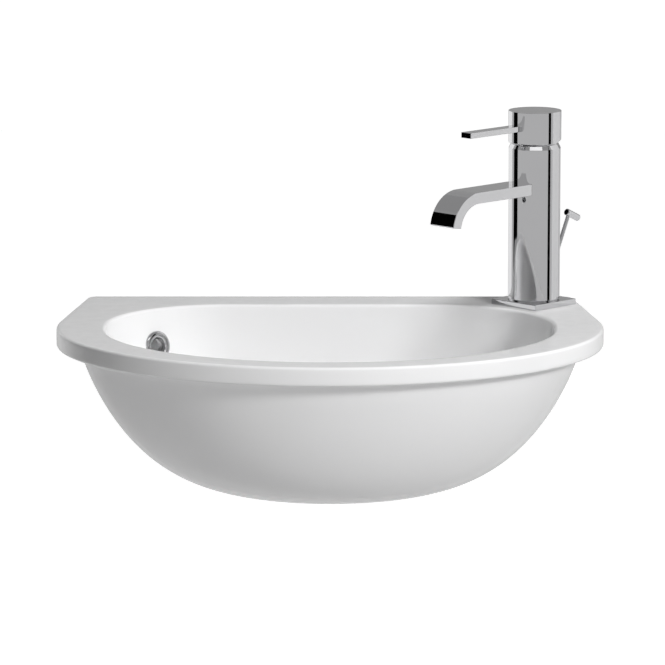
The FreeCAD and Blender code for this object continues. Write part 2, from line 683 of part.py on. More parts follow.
def spout_seal():
    """Rubber frame at the end of the spout's tenon."""
    x0 = TENON_END - SPOUT_SEAL_THICK
    low = SPOUT_MIDDLE - TENON_HEIGHT / 2
    high = SPOUT_MIDDLE + TENON_HEIGHT / 2
    frame = block(x0, TENON_END, TENON_WIDTH, low, high)
    way_width = TENON_WIDTH - 2 * TENON_WALL
    return frame.cut(block(x0, TENON_END, way_width, low + TENON_WALL, high - TENON_WALL))


def flow_straightener():
    """Slotted insert that fills the mouth of the spout."""
    inset = SPOUT_WALL + FIT
    last = SPOUT_END_ANGLE + STRAIGHTENER_SET_BACK
    width = SPOUT_WIDTH - 2 * inset
    insert = ribbon(inset, None, width, last + STRAIGHTENER_ANGLE, last)
    pitch = width / STRAIGHTENER_SLOTS
    margin = inset + SPOUT_WALL / 2
    for k in range(STRAIGHTENER_SLOTS):
        slot = ribbon(margin, None, STRAIGHTENER_SLOT, last + 2 * STRAIGHTENER_ANGLE,
                      last - STRAIGHTENER_ANGLE)
        slot.translate(Vec(0, (k + 0.5) * pitch - width / 2, 0))
        insert = insert.cut(slot)
    return insert


def spout_grub_screw():
    """Grub screw that locks the spout's tenon, set back in the body."""
    screw = rod_between(SCREW_R, -SCREW_RECESS - SCREW_LENGTH, -SCREW_RECESS)
    socket = hexagon(SCREW_SOCKET_R, -SCREW_RECESS - SCREW_LENGTH / 2, -SCREW_RECESS)
    return moved(screw.cut(socket), SCREW)


# The cartridge

def ports(z0, z1):
    """Water passages through the cartridge's base and fixed disc."""
    return [rod_between(PORT_R, z0, z1, x, y) for x, y in port_centres()]


def cartridge_seals():
    """One ring in a groove round each port."""
    top = CARTRIDGE_FLOOR + PORT_SEAL_THICK
    return [rod_between(PORT_R + PORT_SEAL_WIDTH, CARTRIDGE_FLOOR, top, x, y).cut(
        rod_between(PORT_R, CARTRIDGE_FLOOR, top, x, y)) for x, y in port_centres()]


def cartridge_housing():
    """Plastic cup that holds the discs and guides the rotor."""
    base_top = CARTRIDGE_FLOOR + HOUSING_BASE
    cup = rod_between(CARTRIDGE_R, CARTRIDGE_FLOOR, HOUSING_TOP)
    cup = cup.cut(rod_between(CARTRIDGE_R - HOUSING_WALL, base_top, HOUSING_TOP))
    return cup.cut(ports(CARTRIDGE_FLOOR, base_top) + cartridge_seals())


def fixed_disc():
    """Ceramic disc with the three ports."""
    base_top = CARTRIDGE_FLOOR + HOUSING_BASE
    return rod_between(CARTRIDGE_R - HOUSING_WALL - FIT, base_top, DISC_TOP).cut(ports(base_top, DISC_TOP))


def moving_disc():
    """Ceramic disc with a mixing hollow below and a pocket for the spindle's foot above."""
    low = DISC_TOP + FIT
    disc = rod_between(MOVING_DISC_R, low, MOVING_TOP)
    hollow = rod_between(MOVING_DISC_R - MIXING_WALL, low, low + MIXING_HOLLOW)
    side = FOOT_SIDE + 2 * FOOT_PLAY
    pocket = block(-side / 2, side / 2, side, MOVING_TOP - FOOT_POCKET, MOVING_TOP)
    return disc.cut([hollow, pocket])


def spindle_pin():
    """Cross pin on which the spindle tilts."""
    pin = rod_between(PIN_R, -PIN_LENGTH / 2, PIN_LENGTH / 2)
    place = FreeCAD.Placement(Vec(0, 0, PIVOT), FreeCAD.Rotation(Vec(1, 0, 0), 90))
    return moved(pin, place)


def cartridge_rotor():
    """Plastic rotor that carries the tilt pin and turns in the housing."""
    rim = CARTRIDGE_R - HOUSING_WALL - FREE
    rotor = rod_between(rim, MOVING_TOP + FREE, HOUSING_TOP - FREE).fuse(
        rod_between(ROTOR_NECK_R, HOUSING_TOP - FREE, ROTOR_TOP))
    slot = block(-ROTOR_SLOT / 2, ROTOR_SLOT / 2, SPINDLE_SIDE + 2 * FREE, MOVING_TOP, ROTOR_TOP)
    return rotor.cut([slot, spindle_pin()])


def spindle():
    """Square spindle with a narrow foot, drilled for the tilt pin."""
    foot_low = PIVOT - FOOT_DROP
    shoulder = MOVING_TOP + FOOT_NECK
    bar = block(-SPINDLE_SIDE / 2, SPINDLE_SIDE / 2, SPINDLE_SIDE, shoulder, SPINDLE_TOP)
    foot = block(-FOOT_SIDE / 2, FOOT_SIDE / 2, FOOT_SIDE, foot_low, shoulder)
    hole = moved(rod_between(PIN_R + RUNNING, -SPINDLE_SIDE, SPINDLE_SIDE),
                 FreeCAD.Placement(Vec(0, 0, PIVOT), FreeCAD.Rotation(Vec(1, 0, 0), 90)))
    return bar.fuse(foot).cut(hole).removeSplitter()


def cartridge_nut():
    """Threaded ring that holds the cartridge down."""
    return tube(CARTRIDGE_R, ROTOR_NECK_R + FREE, HOUSING_TOP, NUT_TOP)


def cartridge_dome():
    """Chrome collar over the nut, round the tilt pivot like a ball."""
    neck = BODY_TOP - PIVOT
    outer = math.hypot(BODY_NECK_R, neck)
    mouth_top = PIVOT + math.sqrt(outer ** 2 - DOME_MOUTH_R ** 2)
    centre = Vec(0, 0, PIVOT)
    ball = Part.makeSphere(outer, centre).cut(Part.makeSphere(outer - DOME_WALL, centre))
    band = tube(BODY_R, DOME_MOUTH_R, BODY_TOP, mouth_top)
    return ball.common(band)


# The lever

def lever_bar():
    """Flat bar, let into the head."""
    bar = block(LEVER_ROOT, LEVER_REACH, LEVER_WIDTH,
                LEVER_HEIGHT - LEVER_THICK / 2, LEVER_HEIGHT + LEVER_THICK / 2)
    long_edges = [e for e in bar.Edges if e.BoundBox.XLength > LEVER_THICK]
    end_edges = [e for e in bar.Edges if e.BoundBox.XMin > LEVER_REACH - FIT]
    return bar.makeFillet(LEVER_EDGE_R, long_edges + end_edges)


def lever_head():
    """Round cap, hollowed as a ball about the tilt pivot so that its lip clears the body, and cut away behind."""
    head = rod_between(HEAD_R, HEAD_LIP, HEAD_TOP)
    head = head.makeFillet(HEAD_EDGE_R, level_edges(head, HEAD_TOP))
    hollow = Part.makeSphere(math.hypot(HEAD_LIP_R, PIVOT_DROP), Vec(0, 0, PIVOT))
    reach = HEAD_R + OVERCUT
    behind = HEAD_LIP + reach * math.tan(math.radians(HEAD_RELIEF))
    corners = [Vec(0, -reach, HEAD_LIP), Vec(-reach, -reach, behind), Vec(-reach, -reach, HEAD_LIP - OVERCUT),
               Vec(0, -reach, HEAD_LIP - OVERCUT)]
    relief = Part.Face(Part.makePolygon(corners + corners[:1])).extrude(Vec(0, 2 * reach, 0))
    side = SPINDLE_SIDE + 2 * FIT
    socket = block(-side / 2, side / 2, side, HEAD_LIP, SPINDLE_TOP + FIT)
    screw_hole = moved(rod_between(HEAD_SCREW_R + FIT, SPINDLE_SIDE / 2, HEAD_R + OVERCUT), HEAD_SCREW)
    return head.cut([hollow, relief, socket, screw_hole, lever_bar()])


HEAD_SCREW = FreeCAD.Placement(Vec(0, 0, HEAD_SCREW_HEIGHT), FreeCAD.Rotation(TILT_AXIS, -90))


def lever_grub_screw():
    """Grub screw at the back of the head, bearing on the spindle."""
    near = SPINDLE_SIDE / 2 + FIT
    screw = rod_between(HEAD_SCREW_R, near, near + HEAD_SCREW_LENGTH)
    socket = hexagon(HEAD_SOCKET_R, near + HEAD_SCREW_LENGTH / 2, near + HEAD_SCREW_LENGTH)
    return moved(screw.cut(socket), HEAD_SCREW)


# The lift rod, in its own frame: Z up along the rod from where it leaves the body

def lift_rod():
    """Straight rod from the knob down to the clamp."""
    return rod_between(ROD_R, CLAMP_FOOT - ROD_DROP, KNOB_REACH)


def lift_knob():
    """Small round handle across the top of the rod."""
    knob = along_x(rod_between(KNOB_R, -KNOB_BACK, KNOB_FRONT))
    knob.translate(Vec(0, 0, KNOB_REACH))
    ends = [e for e in knob.Edges if e.BoundBox.XLength < FIT]
    knob = knob.makeFillet(KNOB_EDGE_R, ends)
    return knob.cut(rod_between(ROD_R, 0, KNOB_REACH))


def rod_guide_bush():
    """Plastic bush that guides the rod through the back of the body."""
    low = -BUSH_SET_IN - BUSH_LENGTH
    return tube(BUSH_R, ROD_R + RUNNING, low, -BUSH_SET_IN)


CLAMP_FOOT = LEVER_ROD_R + CLAMP_PLAY + CLAMP_WALL


def clamp_frame():
    """Frame of the stirrup: X along the pop-up lever at the middle of its swing, Y level."""
    bottom = LINK - ROD.Rotation.multVec(UP) * ROD_TRAVEL
    reach = (bottom - WASTE_AT) * WASTE.Rotation.multVec(Vec(1, 0, 0)) - BALL_OUT
    lowest = math.degrees(math.atan2(bottom.z - BALL_Z, reach))
    middle = FreeCAD.Rotation(TILT_AXIS, -(LEVER_RISE + lowest) / 2)
    return FreeCAD.Placement(LINK, WASTE.Rotation.multiply(middle))


CLAMP = clamp_frame()
CLAMP_DRIFT = ROD_TRAVEL * (ROD.Rotation.multVec(UP) * WASTE.Rotation.multVec(TILT_AXIS))
GRIP = CLAMP.inverse().multiply(FreeCAD.Placement(LINK, ROD.Rotation))
GRIP_SCREW = GRIP.multiply(FreeCAD.Placement(Vec(0, 0, CLAMP_FOOT + CLAMP_GRIP / 2),
                                             FreeCAD.Rotation(Vec(1, 0, 0), 90)))


def rod_clamp():
    """Stirrup on the rod's lower end: a grip above and a slot for the pop-up lever below."""
    half = LEVER_ROD_R + CLAMP_PLAY
    width = 2 * half + abs(CLAMP_DRIFT)
    slot = block(-CLAMP_DEPTH, CLAMP_DEPTH, width, -half, half)
    stirrup = block(-CLAMP_DEPTH / 2, CLAMP_DEPTH / 2, width + 2 * CLAMP_WALL,
                    -half - CLAMP_WALL, half + CLAMP_WALL)
    for shape in (slot, stirrup):
        shape.translate(Vec(0, CLAMP_DRIFT / 2, 0))
    grip = moved(rod_between(ROD_R + CLAMP_WALL, 0, CLAMP_FOOT + CLAMP_GRIP), GRIP)
    bore = moved(rod_between(ROD_R, CLAMP_FOOT, CLAMP_FOOT + CLAMP_GRIP), GRIP)
    screw_hole = moved(rod_between(CLAMP_SCREW_R, 0, ROD_R + CLAMP_WALL), GRIP_SCREW)
    return stirrup.fuse(grip).cut([slot, bore, screw_hole])


def clamp_screw():
    """Set screw with a thumb head that locks the clamp on the rod."""
    grip_r = ROD_R + CLAMP_WALL
    shank = rod_between(CLAMP_SCREW_R, ROD_R, grip_r)
    head = rod_between(CLAMP_SCREW_HEAD_R, grip_r, grip_r + CLAMP_SCREW_HEAD)
    return moved(shank.fuse(head), GRIP_SCREW)


# The pop-up waste, in its own frame: Z up on the waste axis, X along the lever

def waste_flange():
    """Flanged body with a seat for the plug, overflow slots and a thread for the back nut."""
    under = FLANGE_TOP_Z - FLANGE_THICK
    body = turned([(FLANGE_BORE, TAIL_TOP_Z), (THREAD_R, TAIL_TOP_Z), (THREAD_R, under), (FLANGE_R, under),
                   (FLANGE_R, FLANGE_TOP_Z), (PLUG_MOUTH_R, FLANGE_TOP_Z), (PLUG_MOUTH_R, PLUG_SEAT_Z),
                   (FLANGE_BORE, PLUG_SEAT_Z)])
    rim = [e for e in level_edges(body, FLANGE_TOP_Z) if e.BoundBox.XMax > FLANGE_R - FIT]
    body = body.makeFillet(FLANGE_EDGE_R, rim)
    for k in range(OVERFLOW_SLOT_COUNT):
        slot = block(0, THREAD_R + OVERCUT, OVERFLOW_SLOT_WIDTH, DUCT_LOW_Z, DUCT_TOP_Z)
        slot.rotate(Vec(), UP, (k + 0.5) * 360 / OVERFLOW_SLOT_COUNT)
        body = body.cut(slot)
    return body


def flange_seal():
    """Flat ring between the flange and the ceramic."""
    return tube(FLANGE_R - FREE, THREAD_R + FIT, FLANGE_SEAT_Z, FLANGE_SEAT_Z + FLANGE_SEAL)


def waste_washer():
    """Thick rubber washer under the ceramic."""
    return tube(BACK_WASHER_R, THREAD_R + FIT, BACK_NUT_Z, ROOF_Z)


def waste_back_nut():
    """Hexagon nut that clamps the waste to the basin."""
    low = BACK_NUT_Z - BACK_NUT
    return hexagon(BACK_NUT_R, low, BACK_NUT_Z).cut(rod_between(THREAD_R + FIT, low, BACK_NUT_Z))


def beside_waste(shape):
    """Carry a shape made round Z onto the ball port's axis, which points along +X."""
    turned_shape = along_x(shape)
    turned_shape.translate(Vec(0, 0, BALL_Z))
    return turned_shape


def waste_tail():
    """Tail pipe with a spigot into the flange and a side port for the ball lever."""
    tail = rod_between(TAIL_R, TAIL_END_Z, TAIL_TOP_Z)
    tail = tail.fuse([rod_between(THREAD_R, TAIL_END_Z, TAIL_END_Z + TAIL_THREAD),
                      rod_between(FLANGE_BORE - FIT, TAIL_TOP_Z, TAIL_TOP_Z + TAIL_SPIGOT),
                      beside_waste(rod_between(PORT_R_OUT, 0, PORT_LENGTH))])
    bore = rod_between(TAIL_BORE, TAIL_END_Z, TAIL_TOP_Z + TAIL_SPIGOT)
    throat = beside_waste(rod_between(PORT_THROAT, 0, PORT_LENGTH))
    chamber = beside_waste(rod_between(PORT_BORE, CHAMBER_END, PORT_LENGTH))
    return tail.cut([bore, throat, chamber])


def lever_ball(radius):
    """Sphere at the ball lever's pivot."""
    return Part.makeSphere(radius, Vec(BALL_OUT, 0, BALL_Z))


def ball_seats():
    """Two seat rings, one each side of the ball."""
    rings = []
    for near in (CHAMBER_END, PORT_LENGTH - SEAT_RING):
        ring = beside_waste(tube(PORT_BORE - FIT, PORT_THROAT, near, near + SEAT_RING))
        rings.append(ring.cut(lever_ball(BALL_R + RUNNING)))
    return rings


def ball_gland_nut():
    """Round cap nut that closes the ball port, with a mouth for the lever."""
    end = PORT_LENGTH + GLAND_END
    cap = beside_waste(rod_between(PORT_R_OUT + FIT + GLAND_WALL, PORT_LENGTH - GLAND_GRIP, end))
    inside = beside_waste(rod_between(PORT_R_OUT + FIT, PORT_LENGTH - GLAND_GRIP, PORT_LENGTH))
    mouth = beside_waste(rod_between(GLAND_MOUTH, PORT_LENGTH, end))
    return cap.cut([inside, mouth])


def ball_lever():
    """Straight rod through a ball, from the plug's eye out to the clamp."""
    reach = (LINK_REACH - BALL_OUT) / math.cos(math.radians(LEVER_RISE)) + LEVER_PAST_CLAMP
    past = BALL_OUT / math.cos(math.radians(LEVER_RISE)) + LEVER_PAST_AXIS
    neck = math.sqrt(BALL_R ** 2 - LEVER_ROD_R ** 2)
    corners = [Vec(LEVER_ROD_R, 0, neck), Vec(LEVER_ROD_R, 0, reach), Vec(0, 0, reach), Vec(0, 0, -past),
               Vec(LEVER_ROD_R, 0, -past), Vec(LEVER_ROD_R, 0, -neck)]
    edges = [Part.makeLine(a, b) for a, b in zip(corners, corners[1:])]
    edges.append(Part.Arc(corners[-1], Vec(BALL_R, 0, 0), corners[0]).toShape())
    lever = along_x(Part.Face(Part.Wire(edges)).revolve(Vec(), UP, 360))
    lever.rotate(Vec(), TILT_AXIS, -LEVER_RISE)
    lever.translate(Vec(BALL_OUT, 0, BALL_Z))
    return lever


def plug_cap():
    """Crowned metal cap of the plug."""
    low = PLUG_SEAT_Z + PLUG_SEAL
    edge = low + PLUG_CAP - PLUG_CROWN
    ball_r = (PLUG_R ** 2 + PLUG_CROWN ** 2) / (2 * PLUG_CROWN)
    crown = Part.makeSphere(ball_r, Vec(0, 0, edge + PLUG_CROWN - ball_r))
    return rod_between(PLUG_R, low, edge + PLUG_CROWN).common(crown)


def plug_seal():
    """Rubber ring under the cap, resting on the flange's seat."""
    return tube(PLUG_SEAL_R, STEM_R, PLUG_SEAT_Z, PLUG_SEAT_Z + PLUG_SEAL)


def plug_stem():
    """Moulded stem with guide wings above and an eye for the lever below."""
    top = PLUG_SEAT_Z + PLUG_SEAL
    low = EYE_Z - EYE_HEIGHT / 2
    stem = rod_between(STEM_R, EYE_Z + EYE_HEIGHT / 4, top)
    wings = []
    for k in range(WING_COUNT):
        wing = block(0, FLANGE_BORE - FREE, WING_THICK, PLUG_SEAT_Z - WING_HEIGHT, PLUG_SEAT_Z)
        wing.rotate(Vec(), UP, (k + 0.5) * 360 / WING_COUNT)
        wings.append(wing)
    eye_plate = block(-EYE_THICK / 2, EYE_THICK / 2, EYE_WIDTH, low, low + EYE_HEIGHT)
    hole = LEVER_ROD_R + EYE_PLAY
    eye = block(-EYE_THICK, EYE_THICK, 2 * hole, EYE_Z - hole, EYE_Z + hole)
    return stem.fuse(wings + [eye_plate]).cut(eye).removeSplitter()


def washer(radius, z0, z1):
    """Flat washer on the tap's shank."""
    return tube(radius, SHANK_R + FIT, z0, z1)


def all_nodes():
    """Every piece by name, in the basin's frame."""
    at_tap = {
        "tap_base_plate": tap_base_plate(),
        "tap_base_seal": base_seal(),
        "tap_body": tap_body(),
        "tap_shank": tap_shank(),
        "shank_rubber_washer": washer(WASHER_R, STEEL_H, SEAT_H),
        "shank_steel_washer": washer(WASHER_R, SHANK_NUT_H, STEEL_H),
        "shank_nut": shank_nut(),
        "spout": spout(),
        "spout_seal": spout_seal(),
        "spout_grub_screw": spout_grub_screw(),
        "flow_straightener": flow_straightener(),
        "cartridge_seals": Part.makeCompound(cartridge_seals()),
        "cartridge_housing": cartridge_housing(),
        "fixed_disc": fixed_disc(),
        "moving_disc": moving_disc(),
        "cartridge_rotor": cartridge_rotor(),
        "spindle_pin": spindle_pin(),
        "spindle": spindle(),
        "cartridge_nut": cartridge_nut(),
        "cartridge_dome": cartridge_dome(),
        "lever_head": lever_head(),
        "lever_bar": lever_bar(),
        "lever_grub_screw": lever_grub_screw(),
    }
    on_rod = {
        "lift_rod": lift_rod(),
        "lift_knob": lift_knob(),
        "rod_guide_bush": rod_guide_bush(),
    }
    on_clamp = {
        "rod_clamp": rod_clamp(),
        "clamp_screw": clamp_screw(),
    }
    at_waste = {
        "waste_flange": waste_flange(),
        "flange_seal": flange_seal(),
        "waste_washer": waste_washer(),
        "waste_back_nut": waste_back_nut(),
        "waste_tail": waste_tail(),
        "ball_seats": Part.makeCompound(ball_seats()),
        "ball_gland_nut": ball_gland_nut(),
        "ball_lever": ball_lever(),
        "plug_cap": plug_cap(),
        "plug_seal": plug_seal(),
        "plug_stem": plug_stem(),
    }
    nodes = {"basin_body": basin_body(), "overflow_ring": overflow_ring()}
    for frame, group in ((TAP, at_tap), (ROD, on_rod), (CLAMP, on_clamp), (WASTE, at_waste)):
        for name, shape in group.items():
            nodes[name] = moved(shape, frame)
    return nodes


os.makedirs("parts", exist_ok=True)
for name, shape in all_nodes().items():
    shape.exportStep("parts/" + name + ".step")
    state = "valid" if shape.isValid() else "INVALID"
    print(name, state, len(shape.Solids), "solids", round(shape.Volume / 1000, 2), "cm3")
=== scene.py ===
import math

import bmesh
import bpy
import numpy as np
from mathutils import Matrix


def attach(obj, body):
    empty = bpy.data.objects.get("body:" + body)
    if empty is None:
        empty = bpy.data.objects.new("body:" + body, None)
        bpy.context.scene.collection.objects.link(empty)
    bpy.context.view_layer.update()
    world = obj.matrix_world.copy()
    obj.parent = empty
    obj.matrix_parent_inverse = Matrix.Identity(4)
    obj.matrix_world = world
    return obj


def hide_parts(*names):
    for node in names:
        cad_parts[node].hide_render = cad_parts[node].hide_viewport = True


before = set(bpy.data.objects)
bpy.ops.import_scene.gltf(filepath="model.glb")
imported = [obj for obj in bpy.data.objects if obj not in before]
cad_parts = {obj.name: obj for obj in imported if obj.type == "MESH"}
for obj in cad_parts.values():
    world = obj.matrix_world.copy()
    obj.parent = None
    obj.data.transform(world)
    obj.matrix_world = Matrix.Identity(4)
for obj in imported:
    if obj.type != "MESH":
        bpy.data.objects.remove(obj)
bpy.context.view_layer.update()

# Semi-recessed washbasin with a lever mixer and a pop-up waste.
# Sizes are in millimetres in the CAD frame and become metres when a mesh is made. Angles are in degrees.
MM = 0.001

# Rim: its underside lies at height 0
RIM_WIDTH = 500.0
RIM_DEPTH = 373.5
RIM_THICK = 17.0
RIM_FRONT_CENTRE = 160.0
RIM_SIDE_TAPER = 8.53
RIM_CORNER_R = 10.0
RIM_EDGE_R = 2.5
OPENING_EDGE_R = 3.0

# Outlines of the bowl at the rim, inside and outside, and the axes that they shrink towards
OPENING = dict(back=-48.0, half=205.0, corner=108.0, straight=14.0, front=-344.0)
BOWL = dict(back=-36.0, half=228.0, corner=131.0, straight=4.0, front=-357.0)
WASTE_Y = -140.0
BOWL_Y = -165.0

# Profiles of the bowl: the share of the outline and the share of the depth, each to its power, add up to 1
INSIDE_DEPTH = 103.0
INSIDE_SCALE_POWER = 8.0
INSIDE_DEPTH_POWER = 1.3
FLOOR_FALL = 4.0
BOWL_DEPTH = 136.5
BOWL_SCALE_POWER = 3.62
BOWL_DEPTH_POWER = 1.21
COVE_R = 5.0
COVE_TURN = 80.0

# Waste recess under the bowl, and the channel that the pop-up lever swings in
ROOF_Z = -111.0
SEAT_Z = -89.0
SEAT_R = 32.4
HOLE_R = 23.0
RECESS_R = 60.0
CHANNEL_START = 57.0
CHANNEL_END = 150.0
CHANNEL_HALF = 20.0
CHANNEL_BOTTOM = -260.0
CHANNEL_TOP_GAP = 0.2
CHANNEL_EDGE_R = 2.0
LINK_BEARING = 21.0058

# Overflow: the ring in the bowl's wall, and the rib behind it that holds the duct. RIB_GROWS says which way each
# measure of the bowl's outline goes to make the rib's.
OVERFLOW_AT = (-161.03, -76.12, -17.5)
OVERFLOW_AXIS = (0.6418, -0.7541, 0.1392)
RING_BORE_R = 7.9
RING_R = 14.25
RING_HEIGHT = 2.4
RING_BACK = -0.8
RING_SLEEVE_R = 9.3
RING_SLEEVE_END = -8.8
RIB_OUT = 20.0
RIB_HALF = 21.0
RIB_MARGIN = 2.0
RIB_SIDE_EASE = 6.0
RIB_FOOT_EASE = 8.0
RIB_GROWS = dict(back=1, half=1, corner=1, straight=0, front=-1)

# Rows of points on each stretch of the basin's skin, and how they gather towards its tighter bends
FLOOR_ROWS = 22
FLOOR_SHARE = 0.6
WALL_ROWS = 40
WALL_GATHER = 1.9
WALL_LAST = 0.05
EDGE_ROWS = 8
TOP_ROWS = 10
SIDE_ROWS = 5
UNDER_ROWS = 8
COVE_ROWS = 7
BOWL_ROWS = 80
BOWL_GATHER = 1.5
BOWL_FIRST = 0.04
ROOF_RINGS = (50.0, 40.0, 30.0)

# Tap: heights above the deck, and lengths out from its axis towards the spout
TAP_AT = (190.6, -45.5, RIM_THICK)
SPOUT_BEARING = 225.0
BASE_HALF = 28.0
BASE_HEIGHT = 5.5
BASE_EDGE_R = 0.5
BODY_FOOT_R = 23.0
BODY_FOOT = 6.7
BODY_R = 24.2
BODY_SHOULDER = 148.4
BODY_TOP = 152.5
BODY_NECK_R = 22.2
BODY_EDGE_R = 0.3
SPOUT_TOP = 116.8
SPOUT_THICK = 10.4
SPOUT_WIDTH = 30.0
SPOUT_EDGE_R = 0.45
SPOUT_START = 20.0
SPOUT_STRAIGHT = 90.5
SPOUT_BEND_R = 34.6
SPOUT_END_TURN = 8.0
MOUTH_CHAMFER = 0.3
MOUTH_WALL = 2.0
MOUTH_TURN = 16.0
SPOUT_SCREW_AT = (22.81, 8.08, 102.0)
SPOUT_SCREW_AXIS = (0.7722, 0.2734, -0.5736)

# Lever: the collar and the head's hollow are balls round the tilt pivot, given by angles above its level
PIVOT = 139.6
COLLAR_FOOT = 30.2
COLLAR_FOOT_INSIDE = 32.4
COLLAR_TOP = 55.6
COLLAR_WALL = 1.6
HEAD_R = 24.7
HEAD_LIP = 153.6
HEAD_LIP_R = 22.2
HEAD_LIP_FLAT = 0.3
HEAD_LIP_TURN = 32.24
HEAD_TOP = 183.3
HEAD_EDGE_R = 0.4
HEAD_SCREW_HEIGHT = 171.0
RELIEF_TURN = 11.3
RELIEF_REACH = 26.0
RELIEF_BELOW = 1.0
BAR_START = 12.0
BAR_END = 93.0
BAR_HALF = 6.2
BAR_BOTTOM = 165.8
BAR_TOP = 171.0
BAR_EDGE_R = 0.35

# Lift rod, along its own axis from the place where it leaves the body; its knob lies across its top
ROD_TILT = 25.1
ROD_EXIT = 30.1
ROD_R = 2.0
ROD_BOTTOM = -166.5
ROD_TOP = 56.3
ROD_EDGE_R = 0.3
KNOB_R = 3.3
KNOB_START = -14.0
KNOB_END = 3.9
KNOB_EDGE_R = 0.7

# Tap fixing: heights from the deck
SHANK_R = 14.0
SHANK_BORE_R = 12.5
SHANK_TOP = 16.0
SHANK_BOTTOM = -32.0
SHANK_PITCH = 1.5
SHANK_THREAD_DEPTH = 0.7
FIXING_R = 21.0
FIXING_BORE_R = 14.05
FIXING_TOP = -14.0
FIXING_WASHER_TOP = -16.5
FIXING_WASHER_EDGE_R = 0.2
FIXING_NUT_TOP = -18.5
FIXING_NUT_BOTTOM = -24.5
FIXING_NUT_R = 21.5

# Waste: flange, plug and the fixing under the bowl. PLUG_EDGE is where the plug's crown turns into its side.
FLANGE_TOP = -85.0
FLANGE_UNDER = -87.5
FLANGE_R = 32.0
FLANGE_MOUTH_R = 19.0
FLANGE_BORE_R = 15.5
FLANGE_NECK_R = 20.3
FLANGE_EDGE_R = 0.8
PLUG_SEAT = -91.5
PLUG_R = 18.4
PLUG_CROWN = 1.0
PLUG_CROWN_TURN = 83.8
PLUG_EDGE = ((18.39, -86.0), (18.4, -86.1))
PLUG_UNDER = -89.5
PLUG_EDGE_R = 0.5
WASTE_BORE_R = 21.0
WASTE_WASHER_R = 30.0
WASTE_WASHER_EDGE_R = 0.6
WASTE_NUT_R = 29.0
WASTE_NUT_TOP = -114.0
WASTE_NUT_BOTTOM = -122.0

# Waste tail with its ball port; the port and its cap are measured out from the waste's axis
TAIL_TOP = -124.0
TAIL_END = -149.0
TAIL_R = 20.4
TAIL_BORE_R = 13.0
TAIL_EDGE_R = 0.4
TAIL_PLAIN_START = 4.0
TAIL_THREAD_R = 20.95
TAIL_THREAD_DEPTH = 0.9
TAIL_THREAD_LENGTH = 5.0
TAIL_PITCH = 2.31
PORT_R = 9.0
PORT_BORE_R = 4.4
PORT_START = 14.0
PORT_END = 31.0
PORT_EDGE_R = 0.4
CAP_R = 10.25
CAP_BORE_R = 4.7
CAP_THREAD_R = 9.05
CAP_START = 26.0
CAP_END = 35.0
CAP_EDGE_R = 0.5

# Ball lever: a wire through a ball, along its own axis from the ball's middle
BALL_Z = -133.6
BALL_OUT = 24.0
BALL_R = 6.0
BALL_TURN = 70.5
LEVER_RISE = 9.746
LEVER_R = 2.0
LEVER_CHAMFER_R = 1.7
LEVER_TIP = -29.35
LEVER_TIP_CHAMFER = -29.0
LEVER_END = 153.0
LEVER_END_CHAMFER = 152.7

# Holes cut in the china and the tap: radius, and where each starts and ends along its own axis
TAP_SEAT_CUT = (30.0, -20.0, 3.0)
TAP_HOLE_CUT = (17.5, -20.0, 40.0)
OVERFLOW_CUT = (9.35, -22.0, 20.0)
SPOUT_SCREW_CUT = (1.85, -4.0, 9.0)
ROD_CUT = (3.55, -9.0, 25.0)
HEAD_SCREW_CUT = (2.55, 12.0, 40.0)

# Points round a turned piece, by its size
ROUND_LARGE = 160
ROUND_MIDDLE = 128
ROUND_PLAIN = 96
ROUND_THREAD = 72
ROUND_SMALL = 64
ROUND_WIRE = 48

# Angle between faces past which an edge shades as sharp
SHARP_BOX = 15.0
SHARP_TURNED = 35.0
SHARP_CHINA = 42.0
SHARP_BEAD = 50.0

# Rounded corners: the most of a side that a corner takes, and where a straight run starts, in corner radii
CORNER_SHARE = 0.4
CORNER_HOLD = 1.2


# Places

def place(origin, turn=0.0, tilt=0.0):
    """Frame of a group of pieces: turned about Z, then tilted about its own Y, then carried to its origin."""
    c, s = math.cos(math.radians(turn)), math.sin(math.radians(turn))
    ct, st = math.cos(math.radians(tilt)), math.sin(math.radians(tilt))
    about_z = np.array([[c, -s, 0], [s, c, 0], [0, 0, 1]])
    about_y = np.array([[ct, 0, st], [0, 1, 0], [-st, 0, ct]])
    return about_z @ about_y, np.array(origin, float)


def within(outer, inner):
    """A frame that is given inside another frame, as a frame of the basin."""
    return outer[0] @ inner[0], outer[1] + outer[0] @ inner[1]


def facing(origin, axis, nearly=0.9):
    """Frame whose Z axis points along a direction; its X axis is square to it and to Y, or to X if it is nearly Y."""
    z = np.array(axis, float) / np.linalg.norm(axis)
    x = np.cross((0, 1, 0) if abs(z[1]) < nearly else (1, 0, 0), z)
    x /= np.linalg.norm(x)
    return np.stack([x, np.cross(z, x), z], axis=1), np.array(origin, float)


HERE = place((0, 0, 0))
TAP = place(TAP_AT, SPOUT_BEARING)
TAP_UNDER = place((TAP_AT[0], TAP_AT[1], 0))
ROD = within(TAP, place((-BODY_R, 0, ROD_EXIT), 0, -ROD_TILT))
KNOB = within(ROD, place((0, 0, ROD_TOP), 0, 90))
SPOUT_SCREW = within(TAP, facing(SPOUT_SCREW_AT, SPOUT_SCREW_AXIS))
HEAD_SCREW = within(TAP, place((0, 0, HEAD_SCREW_HEIGHT), 0, -90))
WASTE = place((0, WASTE_Y, 0), LINK_BEARING)
PORT = within(WASTE, place((0, 0, BALL_Z), 0, 90))
LEVER = within(WASTE, place((BALL_OUT, 0, BALL_Z), 0, 90 - LEVER_RISE))
OVERFLOW = facing(OVERFLOW_AT, OVERFLOW_AXIS)


# Surfaces

